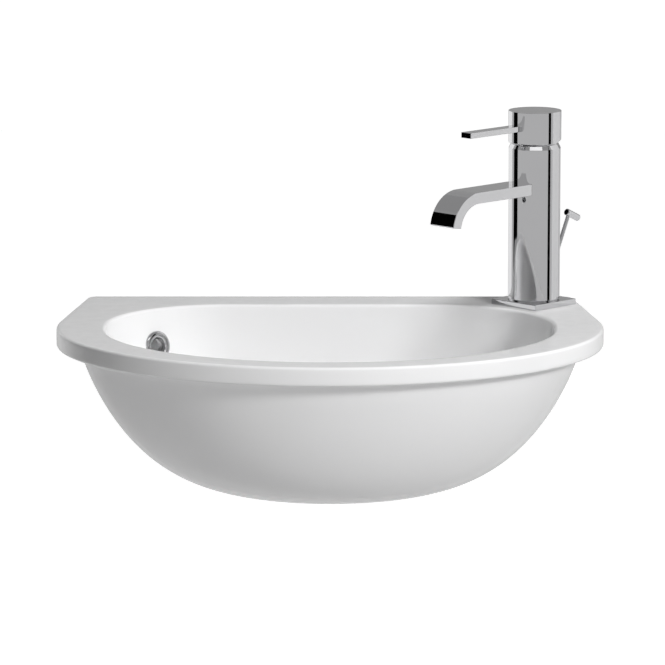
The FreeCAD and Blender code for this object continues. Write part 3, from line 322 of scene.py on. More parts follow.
def eased(points, radius, closed=False, steps=5):
    """Polyline with rounded corners: each corner becomes a quadratic curve between points one radius away from it.

    A further point just outside each end keeps the shading of the straight run flat."""
    p = np.asarray(points, float)
    before, after = np.roll(p, 1, axis=0) - p, np.roll(p, -1, axis=0) - p
    to_before, to_after = np.linalg.norm(before, axis=1), np.linalg.norm(after, axis=1)
    reach = np.minimum(radius, CORNER_SHARE * np.minimum(to_before, to_after))
    first = p + before * (reach / to_before)[:, None]
    last = p + after * (reach / to_after)[:, None]
    t = np.linspace(0, 1, steps)[None, :, None]
    curve = (1 - t) ** 2 * first[:, None] + 2 * t * (1 - t) * p[:, None] + t ** 2 * last[:, None]
    run_in, run_out = ((p + CORNER_HOLD * (end - p))[:, None] for end in (first, last))
    curve = np.concatenate([run_in, curve, run_out], axis=1)
    if closed:
        return curve.reshape(-1, p.shape[1])
    return np.concatenate([p[:1], curve[1:-1].reshape(-1, p.shape[1]), p[-1:]])


def turned(profile, steps=ROUND_PLAIN):
    """Surface of revolution: every (radius, height) point of the profile goes round the Z axis."""
    p = np.asarray(profile, float)
    a = np.arange(steps) * 2 * math.pi / steps
    return np.stack([p[:, :1] * np.cos(a), p[:, :1] * np.sin(a), np.repeat(p[:, 1:], steps, axis=1)], axis=-1)


def rod(radius, z0, z1, edge=0.0, steps=ROUND_PLAIN):
    """Closed round bar, its ends eased where an edge radius is given."""
    profile = [(0, z0), (radius, z0), (radius, z1), (0, z1)]
    return turned(eased(profile, edge) if edge else profile, steps)


def tube(outer, inner, z0, z1, edge=0.3, steps=ROUND_PLAIN):
    """Ring of rectangular section with eased edges; its rows close too."""
    return turned(eased([(inner, z0), (outer, z0), (outer, z1), (inner, z1)], edge, closed=True), steps)


def threaded(radius, depth, pitch, z0, z1, bore, steps=ROUND_THREAD, rows_per_pitch=6):
    """Tube with an outside thread: its radius falls by up to the depth in a triangle wave that climbs a pitch a turn.

    The thread fades out over one pitch at both ends."""
    z = np.arange(z0, z1, pitch / rows_per_pitch)
    a = np.arange(steps) * 2 * math.pi / steps
    phase = (z[:, None] - pitch * a / (2 * math.pi)) / pitch % 1.0
    fade = np.clip(np.minimum(z - z0, z1 - z) / pitch, 0, 1)[:, None]
    r = radius - depth * fade * np.abs(2 * phase - 1) - depth * (1 - fade)
    outside = np.stack([r * np.cos(a), r * np.sin(a), np.repeat(z[:, None], steps, axis=1)], axis=-1)
    return np.concatenate([turned([(bore, z0)], steps), outside, turned([(bore, z[-1])], steps)])


def hexagonal(corner_r, bore, z0, z1, chamfer=1.2, face_share=0.97, steps=ROUND_PLAIN):
    """Nut: a hexagon's radius at each turn, cut back by a chamfer cone at both ends, round a plain bore."""
    a = np.arange(steps) * 2 * math.pi / steps
    flat = corner_r * math.cos(math.pi / 6)
    across = flat / np.cos((a + math.pi / 6) % (math.pi / 3) - math.pi / 6)
    face = flat * face_share
    rows = []
    for r, z in ((bore, z0), (face, z0), (corner_r, z0 + chamfer), (corner_r, z1 - chamfer), (face, z1), (bore, z1)):
        r = np.minimum(across, r)
        rows.append(np.stack([r * np.cos(a), r * np.sin(a), np.full(steps, z)], axis=-1))
    return np.stack(rows)


def rounded_box(x, y, z, radius, steps=5):
    """Box with rounded edges: a rounded rectangle grows from the middle of one face to its full size and back."""
    (x0, x1), (y0, y1), (z0, z1) = x, y, z
    loop = eased([(x0, y0), (x1, y0), (x1, y1), (x0, y1)], radius, closed=True)
    centre = np.array([(x0 + x1) / 2, (y0 + y1) / 2])
    half = np.array([(x1 - x0) / 2, (y1 - y0) / 2])
    a = np.linspace(0, math.pi / 2, steps)
    falling, rising, hold = radius * (1 - np.sin(a)), radius * (1 - np.cos(a)), CORNER_HOLD * radius
    inset = np.concatenate([[min(half), hold], falling, [0, 0], rising, [hold, min(half)]])
    level = np.concatenate([[z0, z0], z0 + rising, [z0 + hold, z1 - hold], z1 - falling, [z1, z1]])
    shrink = 1 - inset[:, None] / half
    xy = centre + (loop - centre)[None] * shrink[:, None, :]
    return np.concatenate([xy, np.repeat(level[:, None, None], len(loop), axis=1)], axis=-1)


def prism(corners, y0, y1):
    """Bar with a flat section: the polygon's (x, z) corners at two places along Y."""
    x, z = np.asarray(corners, float).T
    return np.stack([np.stack([x, np.full(len(x), y), z], axis=-1) for y in (y0, y1)])


# The ceramic

def bowl_outline(back, half, corner, straight, front, steps=200):
    """Bowl outline, dense: straight back, quarter circles, straight sides, half an ellipse in front."""
    flat, shoulder = half - corner, back - corner
    middle = shoulder - straight
    across = np.linspace(0, -flat, steps // 2)[:-1]
    back_edge = np.stack([across, np.full_like(across, back)], axis=-1)
    a = np.radians(np.linspace(90, 180, steps))
    left = np.stack([corner * np.cos(a) - flat, corner * np.sin(a) + shoulder], axis=-1)
    b = np.radians(np.linspace(180, 270, 2 * steps))
    front_left = np.stack([half * np.cos(b), middle + (middle - front) * np.sin(b)], axis=-1)
    half_way = np.concatenate([back_edge, left, front_left])
    return np.concatenate([half_way, half_way[::-1] * (-1, 1)])


def reach_of(outline, centre_y):
    """Distance from (0, centre_y) to an outline, as a function of the direction."""
    offset = outline - (0, centre_y)
    angle = np.arctan2(offset[:, 1], offset[:, 0])
    order = np.argsort(angle)
    radius = np.hypot(offset[:, 0], offset[:, 1])
    return lambda direction: np.interp(direction, angle[order], radius[order], period=2 * math.pi)


def rim_outline(wall_steps=200, corner_steps=120, flank_steps=120, front_steps=600):
    """Rim outline, dense: wall edge, round corners, tapering sides, half an ellipse in front that they touch."""
    ax, ay = RIM_WIDTH / 2, RIM_DEPTH - RIM_FRONT_CENTRE
    taper = math.tan(math.radians(RIM_SIDE_TAPER))
    lean = math.atan(taper * ay / ax)
    side = np.array([ax * math.cos(lean), ay * math.sin(lean) - RIM_FRONT_CENTRE])
    corner = np.array([side[0] + taper * side[1], 0.0])
    opening = math.radians(90 + RIM_SIDE_TAPER) / 2
    run = RIM_CORNER_R / math.tan(opening)
    centre = corner + np.array([-run, -RIM_CORNER_R])
    turn = np.radians(np.linspace(90, RIM_SIDE_TAPER, corner_steps))
    arc = centre + RIM_CORNER_R * np.stack([np.cos(turn), np.sin(turn)], axis=-1)
    across = np.linspace(0, arc[0, 0], wall_steps)[:-1]
    wall = np.stack([across, np.zeros_like(across)], axis=-1)
    flank = arc[-1] + (side - arc[-1]) * np.linspace(0, 1, flank_steps)[1:-1, None]
    sweep = np.linspace(lean, -math.pi / 2, front_steps)
    front = np.stack([ax * np.cos(sweep), ay * np.sin(sweep) - RIM_FRONT_CENTRE], axis=-1)
    right = np.concatenate([wall, arc, flank, front])
    return np.concatenate([right, (right * (-1, 1))[::-1][1:-1]])


def rim_columns(count, run=1500, bend_share=0.35, span=3):
    """Points and outward normals round the rim, closer together where it bends.

    Their spacing is even in length over a long run plus a share of the bend in half turns. A normal stands square to
    the line between the points a few steps away on both sides."""
    p = rim_outline()
    step = np.roll(p, -1, axis=0) - p
    length = np.linalg.norm(step, axis=1)
    heading = np.arctan2(step[:, 1], step[:, 0])
    bend = np.abs((np.roll(heading, -1) - heading + math.pi) % (2 * math.pi) - math.pi)
    weight = np.concatenate([[0], np.cumsum(length / run + bend / math.pi * bend_share)])
    at = np.arange(count) * weight[-1] / count
    closed = np.concatenate([p, p[:1]])
    points = np.stack([np.interp(at, weight, closed[:, k]) for k in (0, 1)], axis=-1)
    tangent = np.roll(p, -span, axis=0) - np.roll(p, span, axis=0)
    normal = np.stack([-tangent[:, 1], tangent[:, 0]], axis=-1)
    normal /= np.linalg.norm(normal, axis=1)[:, None]
    normal = np.concatenate([normal, normal[:1]])
    normals = np.stack([np.interp(at, weight, normal[:, k]) for k in (0, 1)], axis=-1)
    normals /= np.linalg.norm(normals, axis=1)[:, None]
    return points, normals


def inside_depth(scale):
    """Depth of the bowl inside at a share of the opening: steep walls round into a floor that falls to the waste."""
    walls = (1 - scale ** INSIDE_SCALE_POWER) ** (1 / INSIDE_DEPTH_POWER)
    return (INSIDE_DEPTH - FLOOR_FALL) * walls + FLOOR_FALL * (1 - scale)


def outside_depth(scale):
    """Depth of the bowl outside at a share of its outline."""
    return BOWL_DEPTH * (1 - np.clip(scale, 0, 1) ** BOWL_SCALE_POWER) ** (1 / BOWL_DEPTH_POWER)


def outside_scale(depth, full_depth):
    """Share of the outline at a depth: the outside depth's formula turned round."""
    return (1 - np.clip(depth / full_depth, 0, 1) ** BOWL_DEPTH_POWER) ** (1 / BOWL_SCALE_POWER)


def smooth_step(x):
    """Ease from 0 to 1 with level ends: three times the square less twice the cube."""
    x = np.clip(x, 0, 1)
    return x * x * (3 - 2 * x)


def rib_share(points, heights):
    """How far the overflow rib stands out: 1 between its sides and above the recess, easing to 0 round them."""
    along = np.array(OVERFLOW_AT[:2]) - (0, WASTE_Y)
    along /= np.linalg.norm(along)
    offset = points - (0, WASTE_Y)
    across = np.abs(offset @ (-along[1], along[0]))
    side = smooth_step((RIB_HALF + RIB_MARGIN - across) / RIB_SIDE_EASE) * (offset @ along > 0)
    return side * smooth_step((heights - ROOF_Z + RIB_FOOT_EASE / 2) / RIB_FOOT_EASE)


def basin_surface(columns=400):
    """One closed skin: up the bowl's inside from the waste hole, over the rim, down the outside, in under the recess.

    Every row is a ring of points round the waste axis or the bowl's axis at one share of an outline."""
    rim, normal = rim_columns(columns)
    inner = np.arctan2(rim[:, 1] - WASTE_Y, rim[:, 0])
    outer = np.arctan2(rim[:, 1] - BOWL_Y, rim[:, 0])
    inner_way = np.stack([np.cos(inner), np.sin(inner)], axis=-1)
    outer_way = np.stack([np.cos(outer), np.sin(outer)], axis=-1)
    rib_outline = {k: v + RIB_OUT * RIB_GROWS[k] for k, v in BOWL.items()}
    opening = reach_of(bowl_outline(**OPENING), WASTE_Y)(inner)
    bowl = reach_of(bowl_outline(**BOWL), BOWL_Y)(outer)
    rib = reach_of(bowl_outline(**rib_outline), BOWL_Y)(outer)
    waste_axis, bowl_axis = np.array([0, WASTE_Y]), np.array([0, BOWL_Y])
    rows = []

    def ring(points, z):
        """Add one row at a height, or at a height for each point."""
        rows.append(np.concatenate([points, np.broadcast_to(z, len(points))[:, None]], axis=1))

    # Waste hole, flange seat and the bowl's inside
    for r, z in ((HOLE_R, ROOF_Z), (HOLE_R, SEAT_Z), (SEAT_R, SEAT_Z)):
        ring(waste_axis + r * inner_way, z)
    first = SEAT_R / opening
    floor = np.linspace(0, FLOOR_SHARE, FLOOR_ROWS)[:-1]
    wall = 1 - (1 - FLOOR_SHARE) * np.linspace(1, WALL_LAST, WALL_ROWS) ** WALL_GATHER
    for t in np.concatenate([floor, wall]):
        scale = first + (1 - first) * t
        depth = inside_depth(scale)
        ring(waste_axis + (scale * opening)[:, None] * inner_way, RIM_THICK - np.maximum(depth, OPENING_EDGE_R))

    # Edge of the opening, the rim's top, its outer edge and its underside
    for a in np.radians(np.linspace(0, 90, EDGE_ROWS)):
        out = OPENING_EDGE_R * (1 - math.cos(a))
        ring(waste_axis + (opening + out)[:, None] * inner_way, RIM_THICK - OPENING_EDGE_R * (1 - math.sin(a)))
    top_inner = rows[-1][:, :2]
    top_outer = rim - RIM_EDGE_R * normal
    for t in np.linspace(0, 1, TOP_ROWS)[1:-1]:
        ring(top_inner + (top_outer - top_inner) * t, RIM_THICK)
    for a in np.radians(np.linspace(0, 90, EDGE_ROWS)):
        ring(rim - RIM_EDGE_R * (1 - math.sin(a)) * normal, RIM_THICK - RIM_EDGE_R * (1 - math.cos(a)))
    for z in np.linspace(RIM_THICK - RIM_EDGE_R, RIM_EDGE_R, SIDE_ROWS)[1:-1]:
        ring(rim, z)
    for a in np.radians(np.linspace(90, 0, EDGE_ROWS)):
        ring(rim - RIM_EDGE_R * (1 - math.sin(a)) * normal, RIM_EDGE_R * (1 - math.cos(a)))
    under = rows[-1][:, :2]

    def outside(reach, z):
        """Points at a reach from the bowl's axis, pushed out to the overflow rib where that stands further out."""
        points = bowl_axis + reach[:, None] * outer_way
        wide = rib * outside_scale(-z, BOWL_DEPTH + RIB_OUT)
        reach = reach + rib_share(points, z) * np.maximum(wide - reach, 0)
        return bowl_axis + reach[:, None] * outer_way

    # Cove under the rim, the bowl's outside and the roof of the recess
    cove = outside(bowl + COVE_R, np.zeros(columns))
    for t in np.linspace(0, 1, UNDER_ROWS)[1:-1]:
        ring(under + (cove - under) * t, 0.0)
    for a in np.radians(np.linspace(0, COVE_TURN, COVE_ROWS)):
        z = np.full(columns, -COVE_R * (1 - math.cos(a)))
        ring(outside(bowl + COVE_R * (1 - math.sin(a)), z), z)
    to_waste = WASTE_Y - BOWL_Y
    recess = to_waste * outer_way[:, 1] + np.sqrt(RECESS_R ** 2 - (to_waste * outer_way[:, 0]) ** 2)
    smallest = recess / bowl
    for t in np.linspace(BOWL_FIRST, 1, BOWL_ROWS) ** BOWL_GATHER:
        scale = 1 - (1 - smallest) * t
        z = -np.maximum(outside_depth(scale), COVE_R)
        ring(outside(bowl * scale, z), z)
    ring(bowl_axis + recess[:, None] * outer_way, ROOF_Z)
    for r in ROOF_RINGS:
        ring(waste_axis + r * inner_way, ROOF_Z)
    return np.stack(rows)


def overflow_profile(steps=25):
    """Section of the overflow ring: a sleeve in the hole and a bead, half an ellipse from the bore to the edge."""
    middle, half = (RING_R + RING_BORE_R) / 2, (RING_R - RING_BORE_R) / 2
    a = np.radians(np.linspace(180, 0, steps))
    bead = np.stack([middle + half * np.cos(a), RING_HEIGHT * np.sin(a)], axis=-1)
    return np.concatenate([[(RING_BORE_R, RING_SLEEVE_END)], bead,
                           [(RING_R, RING_BACK), (RING_SLEEVE_R, RING_BACK), (RING_SLEEVE_R, RING_SLEEVE_END)]])


# The tap and the waste

def spout_surface(straight_rows=12, bend_rows=48):
    """Ribbon spout: a rounded rectangle carried level from the body and round the bend, then folded in at the mouth.

    Across the path, the rectangle's two coordinates are the width and the way out from the bend's centre. The last
    four rows are the mouth: its chamfer, its wall's inner edge, and the hollow that goes back up from there."""
    x, y = SPOUT_WIDTH / 2, SPOUT_THICK / 2
    loop = eased([(-x, -y), (x, -y), (x, y), (-x, y)], SPOUT_EDGE_R, closed=True)
    mid_r, centre_z = SPOUT_BEND_R - SPOUT_THICK / 2, SPOUT_TOP - SPOUT_BEND_R
    straight = np.linspace(SPOUT_START, SPOUT_STRAIGHT, straight_rows)[:-1]
    bend = np.radians(np.linspace(90, SPOUT_END_TURN, bend_rows))
    hollow = np.radians(SPOUT_END_TURN + np.array([0.0, 0.0, MOUTH_TURN]))
    angle = np.concatenate([np.full(len(straight), math.pi / 2), bend, hollow])
    start = np.concatenate([straight, np.full(len(bend) + len(hollow), SPOUT_STRAIGHT)])
    chamfered, hollowed = ([1 - 2 * inset / SPOUT_WIDTH, 1 - 2 * inset / SPOUT_THICK]
                           for inset in (MOUTH_CHAMFER, MOUTH_WALL))
    shrink = np.concatenate([np.ones((len(angle) - 4, 2)), [chamfered], [hollowed] * 3])
    across = loop[None] * shrink[:, None, :]
    r = mid_r + across[..., 1]
    return np.stack([start[:, None] + r * np.cos(angle)[:, None], across[..., 0],
                     centre_z + r * np.sin(angle)[:, None]], axis=-1)


def ball_arc(radius, first, last, steps=24):
    """Arc of a circle round the tilt pivot, as (radius, height) points, between two angles from the level."""
    a = np.radians(np.linspace(first, last, steps))
    return np.stack([radius * np.cos(a), PIVOT + radius * np.sin(a)], axis=-1)


def plug_profile(steps=16):
    """Section of the plug: a flat disc under a shallow crown, the arc that rises by the crown over the radius."""
    crown_r = (PLUG_R ** 2 + PLUG_CROWN ** 2) / (2 * PLUG_CROWN)
    a = np.radians(np.linspace(90, PLUG_CROWN_TURN, steps))
    crown = np.stack([crown_r * np.cos(a), FLANGE_TOP - crown_r * (1 - np.sin(a))], axis=-1)
    return np.concatenate([crown, eased([*PLUG_EDGE, (PLUG_R, PLUG_UNDER), (0, PLUG_UNDER)], PLUG_EDGE_R)])


def lever_profile(steps=24):
    """Section of the ball lever: a wire with chamfered ends, and a ball whose arc meets it on both sides."""
    a = np.radians(np.linspace(-BALL_TURN, BALL_TURN, steps))
    ball = np.stack([BALL_R * np.cos(a), BALL_R * np.sin(a)], axis=-1)
    return np.concatenate([[(0, LEVER_TIP), (LEVER_CHAMFER_R, LEVER_TIP), (LEVER_R, LEVER_TIP_CHAMFER)], ball,
                           [(LEVER_R, LEVER_END_CHAMFER), (LEVER_CHAMFER_R, LEVER_END), (0, LEVER_END)]])


# Meshes and pieces

def mesh_of(name, grids, looped=False, merge=1e-6, sliver=1e-7):
    """Mesh of one or more grids of points whose columns close into rings; looped grids close their rows too.

    The first and last row of any other grid are closed by a face, unless they are a single point. The two small
    distances, in metres, merge double points and clear edges of no length."""
    points, faces, start = [], [], 0
    for grid in grids:
        count, columns = grid.shape[:2]
        index = start + np.arange(count * columns).reshape(count, columns)
        turn = np.roll(index, -1, axis=1)
        if looped:
            below, across = np.roll(index, -1, axis=0), np.roll(turn, -1, axis=0)
            quads = np.stack([index, turn, across, below], axis=-1).reshape(-1, 4)
        else:
            quads = np.stack([index[:-1], turn[:-1], turn[1:], index[1:]], axis=-1).reshape(-1, 4)
            faces += [index[0, ::-1].tolist(), index[-1].tolist()]
        faces += quads.tolist()
        points.append(grid.reshape(-1, 3))
        start += count * columns
    mesh = bpy.data.meshes.new(name)
    mesh.from_pydata((np.concatenate(points) * MM).tolist(), [], faces)
    work = bmesh.new()
    work.from_mesh(mesh)
    bmesh.ops.remove_doubles(work, verts=work.verts, dist=merge)
    bmesh.ops.dissolve_degenerate(work, edges=work.edges, dist=sliver)
    bmesh.ops.recalc_face_normals(work, faces=work.faces)
    work.to_mesh(mesh)
    work.free()
    return mesh


def carried(grid, where):
    """A grid of points in a frame, carried into the basin's frame."""
    turn, origin = where
    return grid @ turn.T + origin


def piece(name, grids, where, material, body, nodes, sharp=SHARP_TURNED, looped=False, cuts=()):
    """Object of grids in one frame, less the cuts, that rides on a body and stands for its CAD nodes."""
    obj = bpy.data.objects.new(name, mesh_of(name, [carried(g, where) for g in grids], looped))
    bpy.context.collection.objects.link(obj)
    for cut, cut_place in cuts:
        cutter = bpy.data.objects.new("cutter", mesh_of("cutter", [carried(cut, cut_place)]))
        bpy.context.collection.objects.link(cutter)
        step = obj.modifiers.new("cut", "BOOLEAN")
        step.object, step.operation, step.solver = cutter, "DIFFERENCE", "EXACT"
        solid = bpy.data.meshes.new_from_object(obj.evaluated_get(bpy.context.evaluated_depsgraph_get()))
        obj.modifiers.clear()
        obj.data = solid
        bpy.data.objects.remove(cutter)
    mesh = obj.data
    mesh.name = name
    mesh.polygons.foreach_set("use_smooth", np.ones(len(mesh.polygons), bool))
    mesh.set_sharp_from_angle(angle=math.radians(sharp))
    mesh.materials.clear()
    mesh.materials.append(material)
    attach(obj, body)
    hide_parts(*nodes)
    return obj


# Materials

# Range that most values of a noise fall in
NOISE_LOW, NOISE_HIGH = 0.3, 0.7
FINE_DETAIL, BROAD_DETAIL = 3.0, 2.0


def colour(code):
    """Linear colour of an sRGB hex code, by the standard's own formula."""
    s = np.array([int(code[k:k + 2], 16) for k in (0, 2, 4)]) / 255
    return (*np.where(s <= 0.04045, s / 12.92, ((s + 0.055) / 1.055) ** 2.4), 1.0)


def add(tree, kind, inputs=None, **settings):
    """Add a node with its options; inputs maps a socket's name to a value or to the output that feeds it."""
    made = tree.nodes.new(kind)
    for name, value in settings.items():
        setattr(made, name, value)
    for name, value in (inputs or {}).items():
        if isinstance(value, bpy.types.NodeSocket):
            tree.links.new(value, made.inputs[name])
        else:
            made.inputs[name].default_value = value
    return made


def material(name, base, shade, drift_mm, rough, rough_spread, grain_mm, bump_mm, **sockets):
    """Material whose colour drifts between two shades over a broad noise of drift_mm.

    Over a fine noise of grain_mm, its roughness rises by up to rough_spread and its relief by up to bump_mm."""
    made = bpy.data.materials.new(name)
    made.use_nodes = True
    tree = made.node_tree
    tree.nodes.clear()
    where = add(tree, "ShaderNodeTexCoord")
    fine = add(tree, "ShaderNodeTexNoise",
               {"Vector": where.outputs["Object"], "Scale": 1 / (grain_mm * MM), "Detail": FINE_DETAIL})
    broad = add(tree, "ShaderNodeTexNoise",
                {"Vector": where.outputs["Object"], "Scale": 1 / (drift_mm * MM), "Detail": BROAD_DETAIL})
    # A mix node names its sockets alike for every data type: inputs 0, 6 and 7 and output 2 are those for colours
    tint = add(tree, "ShaderNodeMix", {0: broad.outputs["Fac"], 6: colour(base), 7: colour(shade)}, data_type="RGBA")
    gloss = add(tree, "ShaderNodeMapRange",
                {"Value": fine.outputs["Fac"], "From Min": NOISE_LOW, "From Max": NOISE_HIGH,
                 "To Min": rough, "To Max": rough + rough_spread})
    relief = add(tree, "ShaderNodeBump", {"Height": fine.outputs["Fac"], "Distance": bump_mm * MM, "Strength": 1.0})
    skin = add(tree, "ShaderNodeBsdfPrincipled",
               {"Base Color": tint.outputs[2], "Roughness": gloss.outputs["Result"],
                "Normal": relief.outputs["Normal"], **sockets})
    add(tree, "ShaderNodeOutputMaterial", {"Surface": skin.outputs["BSDF"]})
    return made


# Buffing, turning and drawing marks are finer on the real metals; here they are as coarse as they need to show.

# Vitreous china, slip cast and glazed: white with a soft gloss that waves a little every centimetre
CHINA = material("glazed vitreous china", "F3F3F3", "EEEEEF", drift_mm=140.0, rough=0.2, rough_spread=0.05,
                 grain_mm=11.0, bump_mm=0.015, IOR=1.52)
# Brass, polished and chromium plated: a mirror with the faint haze of the buffing wheel
CHROME = material("polished chrome plate", "C8C8C9", "C0C0C2", drift_mm=70.0, rough=0.035, rough_spread=0.025,
                  grain_mm=1.6, bump_mm=0.0004, Metallic=1.0)
# Brass as it leaves the lathe: soft yellow gloss with fine tool marks
BRASS = material("turned brass", "C8A45E", "B48E48", drift_mm=30.0, rough=0.24, rough_spread=0.12,
                 grain_mm=0.8, bump_mm=0.004, Metallic=1.0)
# Stainless steel wire and screws: drawn, satin
STEEL = material("drawn stainless steel", "AEB0B2", "9A9C9F", drift_mm=25.0, rough=0.26, rough_spread=0.14,
                 grain_mm=0.7, bump_mm=0.003, Metallic=1.0)
# Rubber seals: moulded, dull black
RUBBER = material("moulded EPDM rubber", "1A1A1B", "262627", drift_mm=20.0, rough=0.62, rough_spread=0.14,
                  grain_mm=0.9, bump_mm=0.02)
# Acetal: moulded, off white, waxy
ACETAL = material("moulded acetal", "E2E1DB", "D6D5CE", drift_mm=25.0, rough=0.38, rough_spread=0.12,
                  grain_mm=1.1, bump_mm=0.008)
# Alumina discs: fired and lapped, nearly white
ALUMINA = material("lapped alumina", "E9E6DD", "DEDAD0", drift_mm=15.0, rough=0.22, rough_spread=0.08,
                   grain_mm=0.6, bump_mm=0.002)


# The basin and its overflow ring

channel = rounded_box((CHANNEL_START, CHANNEL_END), (-CHANNEL_HALF, CHANNEL_HALF),
                      (CHANNEL_BOTTOM, ROOF_Z - CHANNEL_TOP_GAP), CHANNEL_EDGE_R)
piece("basin", [basin_surface()], HERE, CHINA, "basin", ["basin_body"], looped=True, sharp=SHARP_CHINA,
      cuts=[(channel, WASTE), (rod(*TAP_SEAT_CUT), TAP_UNDER), (rod(*TAP_HOLE_CUT), TAP_UNDER),
            (rod(*OVERFLOW_CUT), OVERFLOW)])
piece("overflow_trim", [turned(overflow_profile(), ROUND_MIDDLE)], OVERFLOW, CHROME, "basin", ["overflow_ring"],
      looped=True, sharp=SHARP_BEAD)


# The tap

body_profile = eased([(0, BASE_HEIGHT), (BODY_FOOT_R, BASE_HEIGHT), (BODY_FOOT_R, BODY_FOOT), (BODY_R, BODY_FOOT),
                      (BODY_R, BODY_SHOULDER), (BODY_NECK_R, BODY_TOP), (0, BODY_TOP)], BODY_EDGE_R)
piece("mixer_body", [turned(body_profile, ROUND_LARGE)], TAP, CHROME, "basin", ["tap_body"],
      cuts=[(rod(*SPOUT_SCREW_CUT), SPOUT_SCREW), (rod(*ROD_CUT), ROD)])
base_plate = rounded_box((-BASE_HALF, BASE_HALF), (-BASE_HALF, BASE_HALF), (0.0, BASE_HEIGHT), BASE_EDGE_R)
piece("mixer_base", [base_plate], TAP, CHROME, "basin", ["tap_base_plate"], sharp=SHARP_BOX)
piece("mixer_spout", [spout_surface()], TAP, CHROME, "basin", ["spout"], sharp=SHARP_BOX)

collar_r = math.hypot(BODY_NECK_R, BODY_TOP - PIVOT)
collar_profile = np.concatenate([ball_arc(collar_r, COLLAR_FOOT, COLLAR_TOP),
                                 ball_arc(collar_r - COLLAR_WALL, COLLAR_TOP, COLLAR_FOOT_INSIDE)])
piece("mixer_collar", [turned(collar_profile, ROUND_MIDDLE)], TAP, CHROME, "basin", ["cartridge_dome"], looped=True)

head_hollow = ball_arc(math.hypot(HEAD_LIP_R, HEAD_LIP - PIVOT), 90.0, HEAD_LIP_TURN)
head_outside = eased([(HEAD_LIP_R + HEAD_LIP_FLAT, HEAD_LIP), (HEAD_R, HEAD_LIP), (HEAD_R, HEAD_TOP), (0, HEAD_TOP)],
                     HEAD_EDGE_R)
relief_rise = RELIEF_REACH * math.tan(math.radians(RELIEF_TURN))
lip_relief = prism([(0, HEAD_LIP), (-RELIEF_REACH, HEAD_LIP + relief_rise), (-RELIEF_REACH, HEAD_LIP - RELIEF_BELOW),
                    (0, HEAD_LIP - RELIEF_BELOW)], -RELIEF_REACH, RELIEF_REACH)
piece("lever_cap", [turned(np.concatenate([head_hollow, head_outside]), ROUND_LARGE)], TAP, CHROME, "mixer_lever",
      ["lever_head"], cuts=[(lip_relief, TAP), (rod(*HEAD_SCREW_CUT), HEAD_SCREW)])
lever_bar = rounded_box((BAR_START, BAR_END), (-BAR_HALF, BAR_HALF), (BAR_BOTTOM, BAR_TOP), BAR_EDGE_R)
piece("lever_handle", [lever_bar], TAP, CHROME, "mixer_lever", ["lever_bar"], sharp=SHARP_BOX)

piece("lift_wire", [rod(ROD_R, ROD_BOTTOM, ROD_TOP, ROD_EDGE_R, ROUND_WIRE)], ROD, CHROME, "lift_rod", ["lift_rod"])
piece("lift_handle", [rod(KNOB_R, KNOB_START, KNOB_END, KNOB_EDGE_R, ROUND_SMALL)], KNOB, CHROME, "lift_rod",
      ["lift_knob"])

shank = threaded(SHANK_R, SHANK_THREAD_DEPTH, SHANK_PITCH, SHANK_BOTTOM, SHANK_TOP, SHANK_BORE_R)
piece("shank_thread", [shank], TAP, BRASS, "basin", ["tap_shank"], looped=True)
shank_rubber = tube(FIXING_R, FIXING_BORE_R, FIXING_WASHER_TOP, FIXING_TOP)
piece("shank_rubber", [shank_rubber], TAP, RUBBER, "basin", ["shank_rubber_washer"], looped=True)
shank_washer = tube(FIXING_R, FIXING_BORE_R, FIXING_NUT_TOP, FIXING_WASHER_TOP, FIXING_WASHER_EDGE_R)
piece("shank_washer", [shank_washer], TAP, STEEL, "basin", ["shank_steel_washer"], looped=True)
shank_nut = hexagonal(FIXING_NUT_R, FIXING_BORE_R, FIXING_NUT_BOTTOM, FIXING_NUT_TOP)
piece("shank_locknut", [shank_nut], TAP, BRASS, "basin", ["shank_nut"], looped=True)


# The pop-up waste

flange_profile = [(FLANGE_BORE_R, TAIL_TOP), (FLANGE_NECK_R, TAIL_TOP), (FLANGE_NECK_R, FLANGE_UNDER),
                  (FLANGE_R, FLANGE_UNDER), (FLANGE_R, FLANGE_TOP), (FLANGE_MOUTH_R, FLANGE_TOP),
                  (FLANGE_MOUTH_R, PLUG_SEAT), (FLANGE_BORE_R, PLUG_SEAT)]
piece("waste_ring", [turned(eased(flange_profile, FLANGE_EDGE_R, closed=True), ROUND_MIDDLE)], WASTE, CHROME, "basin",
      ["waste_flange"], looped=True)
piece("plug_top", [turned(plug_profile(), ROUND_MIDDLE)], WASTE, CHROME, "pop_up_plug", ["plug_cap"])
waste_rubber = tube(WASTE_WASHER_R, WASTE_BORE_R, WASTE_NUT_TOP, ROOF_Z, WASTE_WASHER_EDGE_R)
piece("waste_rubber", [waste_rubber], WASTE, RUBBER, "basin", ["waste_washer"], looped=True)
waste_nut = hexagonal(WASTE_NUT_R, WASTE_BORE_R, WASTE_NUT_BOTTOM, WASTE_NUT_TOP)
piece("waste_locknut", [waste_nut], WASTE, BRASS, "basin", ["waste_back_nut"], looped=True)

